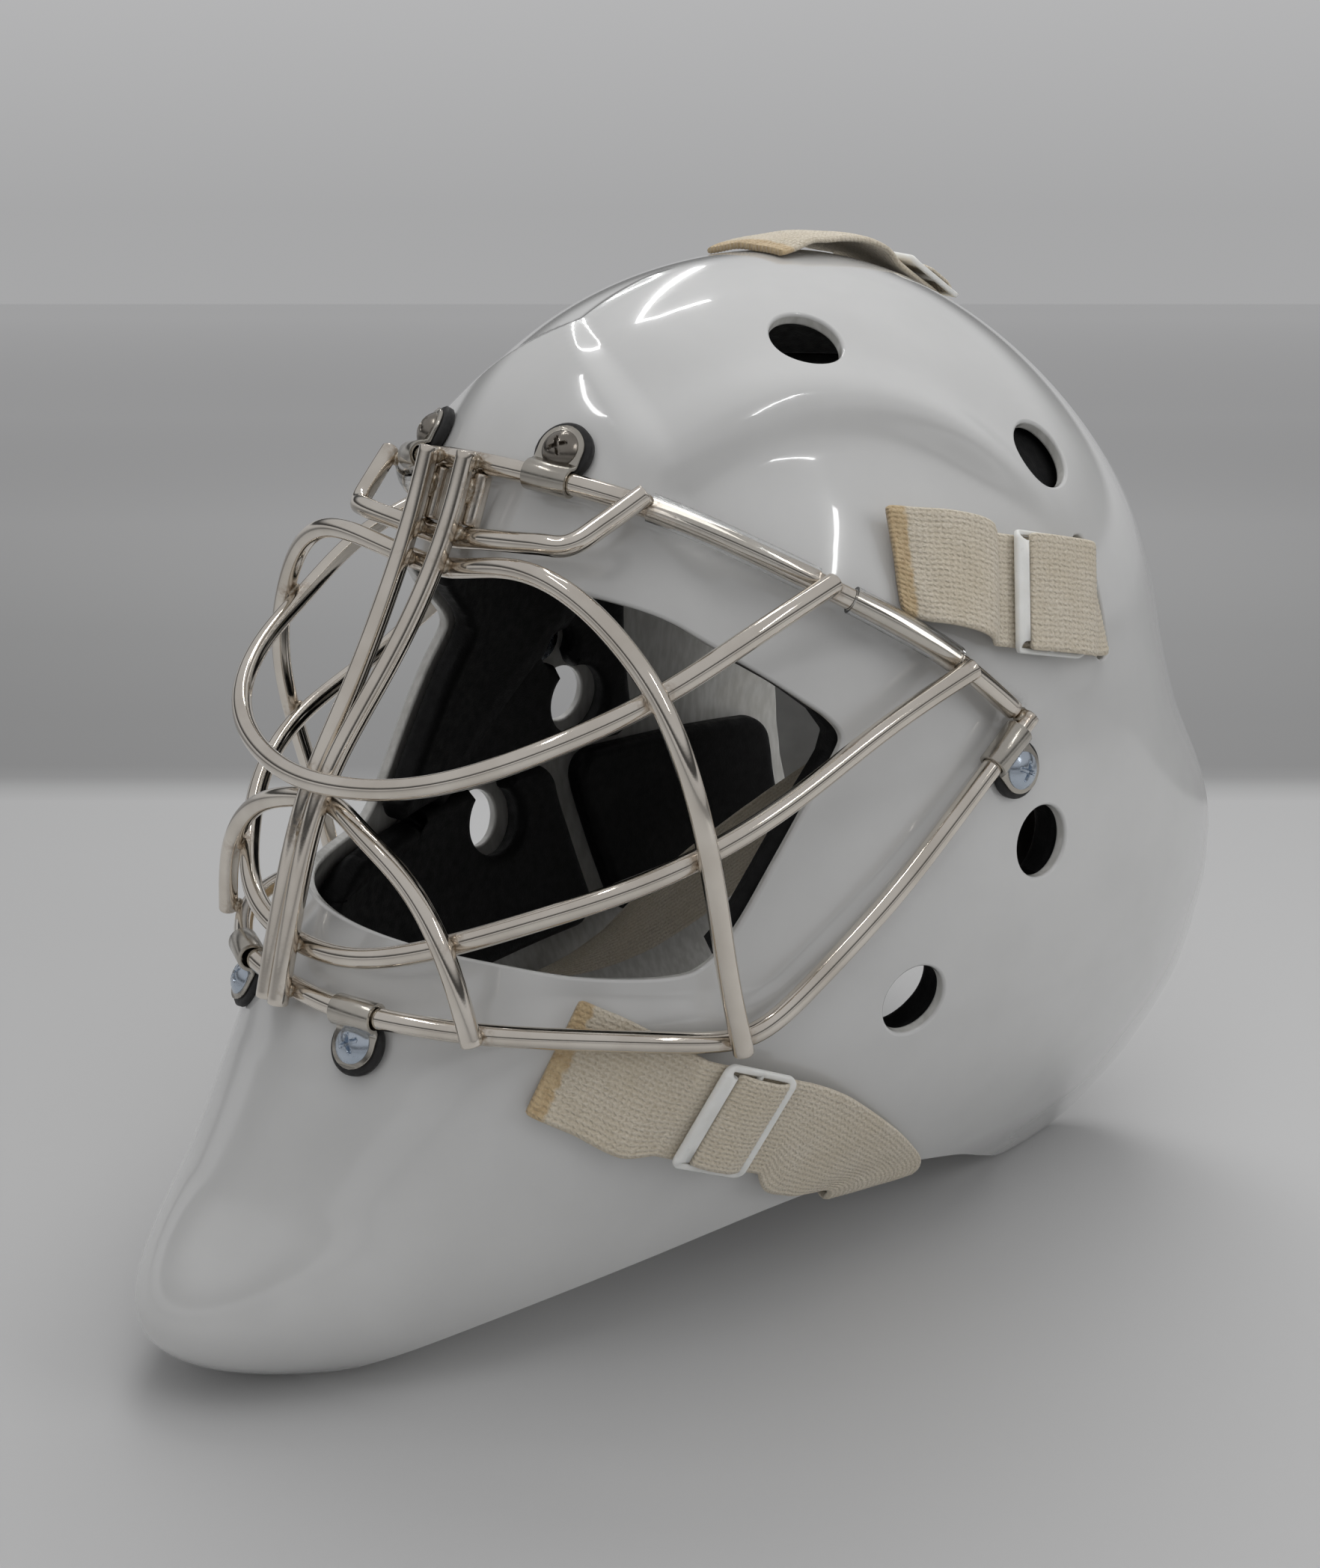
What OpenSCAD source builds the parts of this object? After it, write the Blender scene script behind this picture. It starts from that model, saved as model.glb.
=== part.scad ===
// Goalie mask: laminate shell, welded wire cage, elastic harness, foam liner and back plate.
// Axes: the mask faces -Y, the wearer's left is +X, up is +Z and the table is at Z 0.

/* [Shell] */
// Widest outside width of the shell
shell_w = 239; // [225:1:250]
// Height from the table to the top of the crown
shell_h = 311; // [295:1:325]
// Depth from the chin tip to the rear edge of the jaw
shell_d = 360; // [345:1:375]
// Thickness of the laminate
wall_t = 4; // [3:0.25:5]
// Diameter of the vent holes
vent_d = 22; // [16:1:24]
// Height of the arched ridge over each temple
ridge_h = 3; // [0:0.5:5]
// Depth of the scoop under each ridge
scoop_depth = 4; // [0:0.5:6]
// Height of the raised panel over the nose
panel_h = 2.5; // [0:0.5:4]
// Depth of the recess that the cage sits in
recess_depth = 2.5; // [0:0.5:4]

/* [Cage] */
// Diameter of the cage wire
wire_d = 6; // [5:0.25:6.5]
// Wall of the clear sleeves
sleeve_wall = 0.8; // [0.6:0.1:1]

/* [Clips and screws] */
// Width of a clip across its tongue
clip_w = 14; // [12:0.5:16]
// Sheet thickness of a clip
clip_t = 1.2; // [0.8:0.1:1.6]
// Thickness of the rubber pad under a clip
clip_pad_t = 1.6; // [1.2:0.1:2]
// Rim of rubber that shows round a clip
clip_pad_rim = 1.6; // [1:0.1:2.5]
// Shank diameter of the cage screws
screw_d = 5; // [4:0.1:6]
// Head diameter of the cage screws
screw_head_d = 12; // [10:0.5:13]
// Head height of the cage screws
screw_head_h = 3.2; // [2.4:0.1:4]
// Flange diameter of the tee nuts inside the shell
tee_flange_d = 16; // [14:0.5:20]

/* [Harness] */
// Width of the elastic straps
strap_w = 35; // [32:1:40]
// Thickness of the elastic
strap_t = 2.4; // [1.8:0.1:2.8]
// Length of a slide buckle along its strap
slide_l = 28; // [24:1:32]
// Width of the bars of a slide buckle
slide_bar = 4.5; // [3.5:0.25:5]
// Thickness of the bars of a slide buckle
slide_t = 1.8; // [1.4:0.1:2.2]
// Width of the strap slots through the shell
slot_w = 7; // [6:0.5:8]

/* [Liner] */
// Thickness of the foam liner
liner_t = 10; // [8:0.5:12]

/* [Back plate] */
// Width of the back plate
plate_w = 156; // [146:1:160]
// Height of the back plate
plate_h = 184; // [176:1:190]
// Thickness of the back plate
plate_t = 3.5; // [3:0.25:4.5]
// Thickness of the foam on the back plate
plate_pad_t = 12; // [8:0.5:14]

/* [Hidden] */

// Colours
WHITE = [0.93, 0.93, 0.93];
NICKEL = [0.78, 0.75, 0.70];
ZINC = [0.72, 0.78, 0.84];
BLACK = [0.07, 0.07, 0.075];
CREAM = [0.86, 0.82, 0.73];
CLEAR = [0.85, 0.88, 0.90, 0.45];

// Clearance between pieces that lie against each other
GAP = 0.3;
// Clearance between a faceted curved wall and what lies along it
SKIN_GAP = 1.3;
EPS = 0.01;

// The shape is drawn at these overall sizes and stretched to the ones asked for
DRAWN_W = 239;
DRAWN_H = 311;
DRAWN_D = 360;
// Drawn Y of the middle of the depth, which becomes the origin
MID_Y = 26;
KX = shell_w / DRAWN_W;
KY = shell_d / DRAWN_D;
KZ = shell_h / DRAWN_H;
function fit(p) = [p[0] * KX, (p[1] - MID_Y) * KY, p[2] * KZ];
function fit_side(p) = [(p[0] - MID_Y) * KY, p[1] * KZ];

// Horizontal stations of the shell, from the chin up: height, half width, reach to the front
// of the widest point, Y of the widest point, reach behind it, bluntness of the front
STATIONS = [
    [-12, 60, 205, 126, 118, 1.7],
    [0, 74, 247, 124, 130, 1.7],
    [14, 84, 270, 121, 142, 1.7],
    [30, 94, 271, 119, 150, 1.7],
    [60, 108, 245, 115, 163, 1.75],
    [90, 116, 221, 110, 170, 1.85],
    [106, 118, 209, 108, 172, 1.95],
    [128, 119, 189, 106, 166, 2.1],
    [165, 116, 167, 102, 136, 2.2],
    [200, 110, 149, 98, 128, 2.2],
    [250, 103, 138, 94, 119, 2.15],
    [DRAWN_H, 88, 149, 90, 113, 2.1]];
LAST = len(STATIONS) - 1;
REAR_BLUNT = 2.6;
// Above this height the stations close over the crown like an ellipse
CROWN_Z = 200;
CROWN_RISE = DRAWN_H - CROWN_Z;
V_BOTTOM = -12;
V_TOP = CROWN_Z + 90;

function unit(v) = v / norm(v);
function clamp01(x) = min(1, max(0, x));
function smooth(x) = let (t = clamp01(x)) t * t * (3 - 2 * t);
function mix(a, b, t) = a + (b - a) * t;

// Cubic through the stations, with the slope at each from its neighbours
function slope(c, i) = i == 0 ? (STATIONS[1][c] - STATIONS[0][c]) / (STATIONS[1][0] - STATIONS[0][0])
    : i == LAST ? (STATIONS[i][c] - STATIONS[i - 1][c]) / (STATIONS[i][0] - STATIONS[i - 1][0])
    : (STATIONS[i + 1][c] - STATIONS[i - 1][c]) / (STATIONS[i + 1][0] - STATIONS[i - 1][0]);
function row_of(z, i = 0) = i >= LAST - 1 || STATIONS[i + 1][0] > z ? i : row_of(z, i + 1);
function station(c, z) = let (
    i = row_of(z),
    h = STATIONS[i + 1][0] - STATIONS[i][0],
    t = (z - STATIONS[i][0]) / h,
    t2 = t * t,
    t3 = t2 * t)
    (2 * t3 - 3 * t2 + 1) * STATIONS[i][c] + (t3 - 2 * t2 + t) * h * slope(c, i)
    + (3 * t2 - 2 * t3) * STATIONS[i + 1][c] + (t3 - t2) * h * slope(c, i + 1);

// V runs up the shell: a height up to CROWN_Z, and degrees over the crown after it
function z_of(v) = v <= CROWN_Z ? v : CROWN_Z + CROWN_RISE * sin(v - CROWN_Z);
function v_of(z) = z <= CROWN_Z ? z : CROWN_Z + asin(min(1, (z - CROWN_Z) / CROWN_RISE));
function closing(v) = v <= CROWN_Z ? 1 : cos(v - CROWN_Z);

// Line of the cage's edge in side view: its Y at a height
EDGE_LOW = [-18, 104];
EDGE_CORNER = [82, 185.5];
EDGE_HIGH = [-36, 257];
function edge_y(z) = z < EDGE_CORNER[1]
    ? mix(EDGE_LOW[0], EDGE_CORNER[0], (z - EDGE_LOW[1]) / (EDGE_CORNER[1] - EDGE_LOW[1]))
    : mix(EDGE_CORNER[0], EDGE_HIGH[0], (z - EDGE_CORNER[1]) / (EDGE_HIGH[1] - EDGE_CORNER[1]));

// Arch of the ridge over the temple in side view, and how far along it the ridge shows
ARCH_TOP = [42, 274];
ARCH_CURVE = 0.0072;
function arch_z(y) = ARCH_TOP[1] - ARCH_CURVE * (y - ARCH_TOP[0]) * (y - ARCH_TOP[0]);
function arch_window(y) = smooth((y + 14) / 12) * (1 - smooth((y - 78) / 40));

// Half width of the raised nose panel at a height
PANEL_LOW = 240;
PANEL_RISE = 52;
PANEL_HALF_W = 56;
function panel_x(z) = PANEL_HALF_W * (1 - pow(clamp01((z - PANEL_LOW) / PANEL_RISE), 2.2));

function relief(p) = let (
    x = abs(p[0]),
    y = p[1],
    z = p[2],
    below = arch_z(y) - z,
    arch = x > 20 && z > 190 ? arch_window(y) : 0,
    ridge = ridge_h * exp(-below * below / 70),
    scoop = scoop_depth * smooth(below / 14) * (1 - smooth((below - 16) / 46)),
    panel = z > 225 && y < 40
        ? panel_h * smooth((panel_x(z) - x + 4) / 12) * smooth((z - 225) / 12) : 0,
    recess = z > 100 && z < 262 && y < 90
        ? recess_depth * smooth((edge_y(z) - y + 4) / 10) * smooth((z - 108) / 10)
            * (1 - smooth((z - 250) / 8)) : 0)
    arch * (ridge - scoop) + panel - recess;

// Point of the drawn shell at angle A (0 front, 90 left, 180 rear) and V
function section(a, v) = let (
    z = z_of(v),
    c = closing(v),
    f = cos(a),
    y0 = station(3, z),
    x = station(1, z) * c * sin(a),
    y = f >= 0 ? y0 - station(2, z) * c * pow(f, 2 / station(5, z))
        : y0 + station(4, z) * c * pow(-f, 2 / REAR_BLUNT),
    out = unit([x, y - y0, max(0, z - CROWN_Z) + EPS]))
    [x, y, z] + relief([x, y, z]) * out;

DA = 0.5;
function skin_n(a, v) = let (
    low = min(v - DA, V_TOP - 3),
    across = fit(section(a + DA, low + DA)) - fit(section(a - DA, low + DA)),
    up = fit(section(a, low + 2 * DA)) - fit(section(a, low)))
    v >= V_TOP - EPS ? [0, 0, 1] : unit(cross(across, up));
// Point H outside the shell's outer surface, or inside it where H is negative
function skin(a, v, h = 0) = fit(section(a, v)) + h * skin_n(a, v);

// Angle of the shell's left side at a Y, and of its front at an X, both at a height
function a_at_y(y, z) = let (c = closing(v_of(z)), d = y - station(3, z))
    d < 0 ? acos(pow(-d / (station(2, z) * c), station(5, z) / 2))
    : 180 - acos(pow(d / (station(4, z) * c), REAR_BLUNT / 2));
function a_at_x(x, z) = asin(x / (station(1, z) * closing(v_of(z))));
function on_side(y, z, h = 0) = skin(a_at_y(y, z), v_of(z), h);

// Frame with columns X, Y, Z at a place
module frame_at(p, x, y, z) {
    multmatrix([
        [x[0], y[0], z[0], p[0]],
        [x[1], y[1], z[1], p[1]],
        [x[2], y[2], z[2], p[2]],
        [0, 0, 0, 1]])
        children();
}

// Frame on the shell: Z outwards, Y up the shell, X along it
module on_skin(a, v, h = 0) {
    n = skin_n(a, v);
    x = unit(cross([0, 0, 1], n));
    frame_at(skin(a, v, h), x, cross(n, x), n)
        children();
}

module both_sides() {
    children();
    mirror([1, 0, 0])
        children();
}

// Prism along X with an outline drawn in side view
module side_prism(outline, half) {
    rotate([90, 0, 90])
        translate([0, 0, -half])
            linear_extrude(2 * half)
                polygon([for (p = outline) fit_side(p)]);
}

// Triangles between rings of equal length, with a fan over each end
function tube_faces(rings, n) = concat(
    [for (r = [0 : rings - 2]) for (i = [0 : n - 1])
        [r * n + i, (r + 1) * n + i, r * n + (i + 1) % n]],
    [for (r = [0 : rings - 2]) for (i = [0 : n - 1])
        [r * n + (i + 1) % n, (r + 1) * n + i, (r + 1) * n + (i + 1) % n]],
    [for (i = [1 : n - 2]) [0, i, i + 1]],
    [for (i = [1 : n - 2]) [(rings - 1) * n, (rings - 1) * n + i + 1, (rings - 1) * n + i]]);

// Smooth curve through hand-placed points
function curve_at(p, i, t) = let (
    a = p[max(0, i - 1)],
    b = p[i],
    c = p[min(len(p) - 1, i + 1)],
    d = p[min(len(p) - 1, i + 2)])
    0.5 * (2 * b + (c - a) * t + (2 * a - 5 * b + 4 * c - d) * t * t
        + (3 * b - a - 3 * c + d) * t * t * t);
function curve(p, steps) = concat(
    [for (i = [0 : len(p) - 2]) for (s = [0 : steps - 1]) curve_at(p, i, s / steps)],
    [p[len(p) - 1]]);
function tangent(p, i) = unit(p[min(len(p) - 1, i + 1)] - p[max(0, i - 1)]);

WIRE_SIDES = 8;
WIRE_REF = [0, -1, 0.3];
// Circumradius that gives the eight-sided wire the volume of a round one
WIRE_R = wire_d / 2 * 1.054;
function wire_ring(p, t, r, n) = let (
    u = unit(cross(t, WIRE_REF)),
    w = cross(u, t))
    [for (k = [0 : n - 1]) p + r * (cos(360 * k / n) * u + sin(360 * k / n) * w)];

module tube_along(path, r, n = WIRE_SIDES) {
    points = [for (i = [0 : len(path) - 1]) each wire_ring(path[i], tangent(path, i), r, n)];
    polyhedron(points, tube_faces(len(path), n), convexity = 6);
}

function flip(p) = [-p[0], p[1], p[2]];

// Outer surface of the shell or, with a depth, the surface that far inside it
COLS = 56;
ROWS = [V_BOTTOM, -4, 3, 10, 18, 28, 40, 54, 68, 82, 94, 104, 112, 122, 136, 152, 168, 185,
    199, 207, 215, 223, 231, 239, 247, 256, 265, 274, 283];
module skin_solid(depth) {
    n = len(ROWS) * COLS;
    body = [for (v = ROWS) for (i = [0 : COLS - 1]) skin(360 * i / COLS, v, -depth)];
    top = (len(ROWS) - 1) * COLS;
    side_a = [for (r = [0 : len(ROWS) - 2]) for (i = [0 : COLS - 1])
        [r * COLS + i, r * COLS + (i + 1) % COLS, (r + 1) * COLS + i]];
    side_b = [for (r = [0 : len(ROWS) - 2]) for (i = [0 : COLS - 1])
        [r * COLS + (i + 1) % COLS, (r + 1) * COLS + (i + 1) % COLS, (r + 1) * COLS + i]];
    lid = [for (i = [0 : COLS - 1]) [top + i, top + (i + 1) % COLS, n]];
    base = [for (i = [0 : COLS - 1]) [(i + 1) % COLS, i, n + 1]];
    floor_mid = fit([0, STATIONS[0][3], V_BOTTOM]);
    points = concat(body, [skin(0, V_TOP, -depth), floor_mid]);
    polyhedron(points, [for (f = concat(side_a, side_b, lid, base)) [f[2], f[1], f[0]]],
        convexity = 10);
}

// Side outline of the shell, from the chin round the jaw to the crown
OUTLINE = [
    [-170, 0], [-118, 0], [-104, 8], [-78, 18], [-38, 27], [15, 35], [54, 34], [90, 24],
    [114, 12], [132, 3], [146, 0], [166, 0], [178, 5], [190, 18], [200, 45], [205, 80],
    [206, 110], [201, 140], [189, 162], [178, 182], [174, 205], [177, 235], [177, 262],
    [173, 282], [166, 300], [150, 330], [-170, 330]];
// Side outline of the face opening
FACE = [
    [-200, 128], [-84, 128], [-66, 125.5], [-49, 122.5], [-30, 121.5], [-21, 124],
    [-12, 133.5], [0, 152], [12, 170], [19.5, 179.5], [21.5, 184], [18.5, 189],
    [12, 194.5], [1, 203.5], [-8, 211], [-17, 218], [-29, 223], [-41, 225.5], [-60, 226],
    [-200, 226]];
// Side places of the vents
VENTS = [[89, 142.6], [41.3, 102.6], [114.7, 253], [50.6, 287.5]];
VENT_REACH = 22;

module vent_holes(list, d) {
    both_sides()
        for (p = list)
            on_skin(a_at_y(p[0], p[1]), v_of(p[1]))
                translate([0, 0, -VENT_REACH])
                    cylinder(d = d, h = VENT_REACH + 20, $fn = 48);
}

// Temple strap slot: place in side view and lean of its length
SLOT = [121, 211];
SLOT_LEAN = 8;
SLOT_L = strap_w + 4;
module temple_slots() {
    both_sides()
        on_skin(a_at_y(SLOT[0], SLOT[1]), v_of(SLOT[1]))
            rotate([0, 0, SLOT_LEAN])
                cube([slot_w, SLOT_L, 30], center = true);
}

// Cage wires, drawn on the left; most run on over the middle to the right
TOP_BAR = [[0, -34, 255.5], [16, -33, 254.5], [31.5, -28.5, 253], [46, -22.5, 250],
    [58, -14.5, 246.5], [75, -2, 238.5], [90, 16.5, 227], [101.5, 33.4, 216.2],
    [109.3, 53.9, 202.9], [114.6, 75.2, 185.2]];
LOWER_BAR = [[117, 80, 183.2], [116.5, 64, 170.5], [116, 52, 161], [113.5, 30.5, 142],
    [109.5, 11.5, 126], [105, -7, 112], [102.5, -13, 106.5], [100, -17.5, 105],
    [91.5, -38.5, 108], [74.5, -65.5, 111.5], [60, -80.5, 112.5], [37.5, -94, 113],
    [22, -99, 113], [0, -100, 112.5]];
CENTRE_BAR = [[9, -39.3, 258.7], [9, -45.5, 240.5], [8, -56.5, 219], [6.5, -66, 202.5],
    [4.2, -74, 190], [3.2, -83, 178], [3.2, -87.5, 172], [3.2, -91, 164], [3.2, -95.5, 148],
    [3.2, -101, 131], [3.2, -106, 112.5], [3.2, -106.6, 109.5]];
EYE_RING = [[104.8, -22, 104], [103, -27, 126.5], [104.5, -31.5, 148], [104.5, -37.5, 171],
    [99.5, -40.5, 192], [90.5, -40.5, 206.5], [79.5, -44.5, 217], [66, -46, 227],
    [51, -48.5, 232.5], [33, -48, 230.5], [13, -46.3, 227], [0, -42, 224.5]];
UPPER_CROSS = [[97.5, 16.5, 227.7], [96, -12.5, 217.5], [86.5, -37.5, 202.5],
    [80.5, -52.5, 197], [73.5, -63, 192], [62, -75, 185], [52, -82, 181], [37, -87.5, 177],
    [0, -94.2, 173.5]];
LOWER_CROSS = [[115.9, 54.9, 201.5], [110, 37, 192.5], [107, 19, 184], [103.5, -6.5, 171],
    [99, -32.5, 162], [92.5, -45, 156], [83.5, -57, 151], [72, -68, 145.5], [57.5, -78, 138],
    [47, -85.5, 134], [33, -92.5, 128.5], [19.5, -95.5, 126], [0, -96, 125]];
MOUTH_ARC = [[65.5, -84.2, 112], [62.5, -85, 123], [55, -86.5, 139.5], [40.5, -86, 152.5],
    [21, -89, 160.5], [9.5, -86.3, 163.5], [0, -81.5, 164]];
VISOR = [[61, -18.7, 251], [56, -29, 243.5], [51, -37, 238], [41.5, -41, 237.5],
    [20.5, -42, 236], [0, -40.5, 234]];
STUB = [[9.3, -34.5, 252.1], [9.3, -39.7, 237.9]];
WIRE_STEPS = 2;

function axis_of(points) = curve([for (p = points) fit(p)], WIRE_STEPS);
function across(points) = let (n = len(points)) concat(points,
    [for (i = [n - 2 : -1 : 0]) flip(points[i])]);

module wire_along(points) {
    color(NICKEL)
        tube_along(axis_of(points), WIRE_R);
}

module cage_top_bar() wire_along(across([for (i = [9 : -1 : 0]) TOP_BAR[i]]));
module cage_lower_bar() wire_along(across(LOWER_BAR));
module visor_bar() wire_along(across(VISOR));
module visor_stubs() both_sides() wire_along(STUB);
module centre_bar_left() wire_along(CENTRE_BAR);
module centre_bar_right() mirror([1, 0, 0]) wire_along(CENTRE_BAR);
module eye_ring() wire_along(across(EYE_RING));
module upper_cross_bar() wire_along(across(UPPER_CROSS));
module lower_cross_bar() wire_along(across(LOWER_CROSS));
module mouth_arc() wire_along(across(MOUTH_ARC));

// Clear sleeves over the top bar, between two of its ring numbers
SLEEVE_SIDES = 12;
SLEEVE_BORE_R = WIRE_R / cos(180 / SLEEVE_SIDES) + 0.06;
TOP_AXIS = axis_of(TOP_BAR);
FRONT_SLEEVE = [8, 12];
REAR_SLEEVE = [13, 16];
function hollow_faces(rings, n) = let (m = rings * n, l = (rings - 1) * n) concat(
    [for (r = [0 : rings - 2]) for (i = [0 : n - 1]) let (a = r * n + i, b = r * n + (i + 1) % n)
        each [[a, a + n, b], [b, a + n, b + n], [m + a, m + b, m + a + n],
            [m + b, m + b + n, m + a + n]]],
    [for (i = [0 : n - 1]) let (j = (i + 1) % n)
        each [[i, j, m + i], [j, m + j, m + i], [l + j, l + i, m + l + i],
            [l + j, m + l + i, m + l + j]]]);
module sleeve(ends) {
    t = [for (i = [0 : len(TOP_AXIS) - 1]) tangent(TOP_AXIS, i)];
    points = [for (r = [SLEEVE_BORE_R + sleeve_wall, SLEEVE_BORE_R]) for (i = [ends[0] : ends[1]])
        each wire_ring(TOP_AXIS[i], t[i], r, SLEEVE_SIDES)];
    color(CLEAR)
        polyhedron(points, hollow_faces(ends[1] - ends[0] + 1, SLEEVE_SIDES), convexity = 6);
}
module front_sleeve_left() sleeve(FRONT_SLEEVE);
module front_sleeve_right() mirror([1, 0, 0]) sleeve(FRONT_SLEEVE);
module rear_sleeve_left() sleeve(REAR_SLEEVE);
module rear_sleeve_right() mirror([1, 0, 0]) sleeve(REAR_SLEEVE);

// Screw places: the forehead and chin by X and height, the side by Y and height
FOREHEAD_SCREW = [30.5, 262];
CHIN_SCREW = [29.5, 103];
SIDE_SCREW = [76.2, 167.4];
SCREW_A = [a_at_x(FOREHEAD_SCREW[0], FOREHEAD_SCREW[1]), a_at_x(CHIN_SCREW[0], CHIN_SCREW[1]),
    a_at_y(SIDE_SCREW[0], SIDE_SCREW[1])];
SCREW_V = [v_of(FOREHEAD_SCREW[1]), v_of(CHIN_SCREW[1]), v_of(SIDE_SCREW[1])];
SCREW_WIRE = [TOP_AXIS, axis_of(LOWER_BAR), axis_of(LOWER_BAR)];
function nearest(path, p) = let (d = [for (q = path) norm(q - p)], m = min(d))
    [for (i = [0 : len(path) - 1]) if (d[i] == m) i][0];
// Frame of a screw: Z along the screw, X along the wire beside it, the wire at Y > 0
function screw_frame(k) = let (
    s = skin(SCREW_A[k], SCREW_V[k]),
    n = skin_n(SCREW_A[k], SCREW_V[k]),
    i = nearest(SCREW_WIRE[k], s),
    q = SCREW_WIRE[k][i],
    t = tangent(SCREW_WIRE[k], i),
    z = unit(n - (n * t) * t),
    side = cross(z, t) * (q - s) > 0 ? 1 : -1)
    [s, side * t, side * cross(z, t), z, [side * cross(z, t) * (q - s), z * (q - s)]];
SCREWS = [for (k = [0 : 2]) screw_frame(k)];
module at_screw(k) {
    f = SCREWS[k];
    both_sides()
        frame_at(f[0], f[1], f[2], f[3])
            children();
}

// A clip: a round-ended tongue under the screw that wraps over the wire
CLIP_BORE_R = WIRE_R + 0.4;
HOLE_GAP = 0.2;
module clip(k) {
    wire_at = SCREWS[k][4];
    low = clip_pad_t;
    difference() {
        union() {
            translate([0, 0, low])
                cylinder(d = clip_w, h = clip_t, $fn = 48);
            translate([-clip_w / 2, 0, low])
                cube([clip_w, wire_at[0] - CLIP_BORE_R * 0.8, clip_t]);
            translate([-clip_w / 2, 0, 0])
                rotate([90, 0, 90])
                    linear_extrude(clip_w)
                        difference() {
                            translate(wire_at)
                                circle(r = CLIP_BORE_R + clip_t, $fn = 48);
                            translate([0, -20])
                                square([40, low + 20]);
                        }
        }
        translate([-clip_w / 2 - 1, wire_at[0], wire_at[1]])
            rotate([0, 90, 0])
                cylinder(r = CLIP_BORE_R, h = clip_w + 2, $fn = 48);
        translate([-clip_w / 2 - 1, wire_at[0], low - 1])
            cube([clip_w + 2, 12, max(0.2, wire_at[1] - low - 1)]);
        translate([0, 0, low - 1])
            cylinder(d = screw_d + 2 * HOLE_GAP, h = clip_t + 2, $fn = 32);
        translate([0, 0, low + clip_t])
            cylinder(d = screw_head_d + 2 * HOLE_GAP, h = 4 * screw_head_h, $fn = 48);
    }
}
module clips(k) {
    color(NICKEL)
        at_screw(k)
            clip(k);
}
module forehead_clips() clips(0);
module chin_clips() clips(1);
module side_clips() clips(2);

PAD_SINK = 3;
PAD_WIRE_GAP = 1.1;
module clip_pads(k) {
    wide = clip_w + 2 * clip_pad_rim;
    reach = SCREWS[k][4][0] - CLIP_BORE_R - 0.8;
    color(BLACK)
        difference() {
            at_screw(k)
                translate([0, 0, -PAD_SINK])
                    difference() {
                        union() {
                            cylinder(d = wide, h = PAD_SINK + clip_pad_t - 0.05, $fn = 48);
                            translate([-wide / 2, 0, 0])
                                cube([wide, reach, PAD_SINK + clip_pad_t - 0.05]);
                        }
                        translate([0, 0, -1])
                            cylinder(d = tee_d + 2 * HOLE_GAP, h = 20, $fn = 32);
                    }
            at_screw(k)
                translate([-wide, SCREWS[k][4][0], SCREWS[k][4][1]])
                    rotate([0, 90, 0])
                        cylinder(r = WIRE_R + PAD_WIRE_GAP, h = 2 * wide, $fn = 48);
            skin_solid(-0.05);
        }
}
module forehead_clip_pads() clip_pads(0);
module chin_clip_pads() clip_pads(1);
module side_clip_pads() clip_pads(2);

// Truss head screws with a cross recess, from outside through clip, pad and shell
screw_under = clip_pad_t + clip_t + 0.05;
dome_r = (screw_head_d * screw_head_d / 4 + screw_head_h * screw_head_h) / (2 * screw_head_h);
RECESS_W = 1.3;
RECESS_L = 5.6;
RECESS_T = 1.6;
TEE_DEPTH = wall_t + 1.8;
TEE_FLANGE_T = 1.4;
tee_d = screw_d + 2;
module screws(k) {
    color(k == 0 ? NICKEL : ZINC)
        at_screw(k)
            difference() {
                union() {
                    translate([0, 0, screw_under])
                        intersection() {
                            cylinder(d = screw_head_d, h = screw_head_h, $fn = 48);
                            translate([0, 0, screw_head_h - dome_r])
                                sphere(r = dome_r, $fn = 48);
                        }
                    translate([0, 0, -TEE_DEPTH - TEE_FLANGE_T])
                        cylinder(d = screw_d, h = TEE_DEPTH + TEE_FLANGE_T + screw_under + 0.5,
                            $fn = 32);
                }
                translate([0, 0, screw_under + screw_head_h])
                    for (turn = [0, 90])
                        rotate([0, 0, turn])
                            cube([RECESS_W, RECESS_L, 2 * RECESS_T], center = true);
            }
}
module forehead_screws() screws(0);
module chin_screws() screws(1);
module side_screws() screws(2);

module tee_nuts() {
    color(ZINC)
        for (k = [0 : 2])
            at_screw(k)
                translate([0, 0, -TEE_DEPTH - TEE_FLANGE_T])
                    difference() {
                        union() {
                            cylinder(d = tee_flange_d, h = TEE_FLANGE_T, $fn = 48);
                            cylinder(d = tee_d, h = TEE_DEPTH + TEE_FLANGE_T - 0.6, $fn = 32);
                        }
                        translate([0, 0, -1])
                            cylinder(d = screw_d + 0.1, h = 20, $fn = 32);
                    }
}

// The laminate shell
TEE_HOLE_D = tee_d + 0.4;
module shell() {
    color(WHITE)
        difference() {
            intersection() {
                difference() {
                    skin_solid(0);
                    skin_solid(wall_t);
                }
                side_prism(OUTLINE, shell_w);
            }
            side_prism(FACE, shell_w);
            vent_holes(VENTS, vent_d);
            temple_slots();
            for (k = [0 : 2])
                at_screw(k)
                    translate([0, 0, -12])
                        cylinder(d = TEE_HOLE_D, h = 20, $fn = 32);
        }
}

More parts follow.
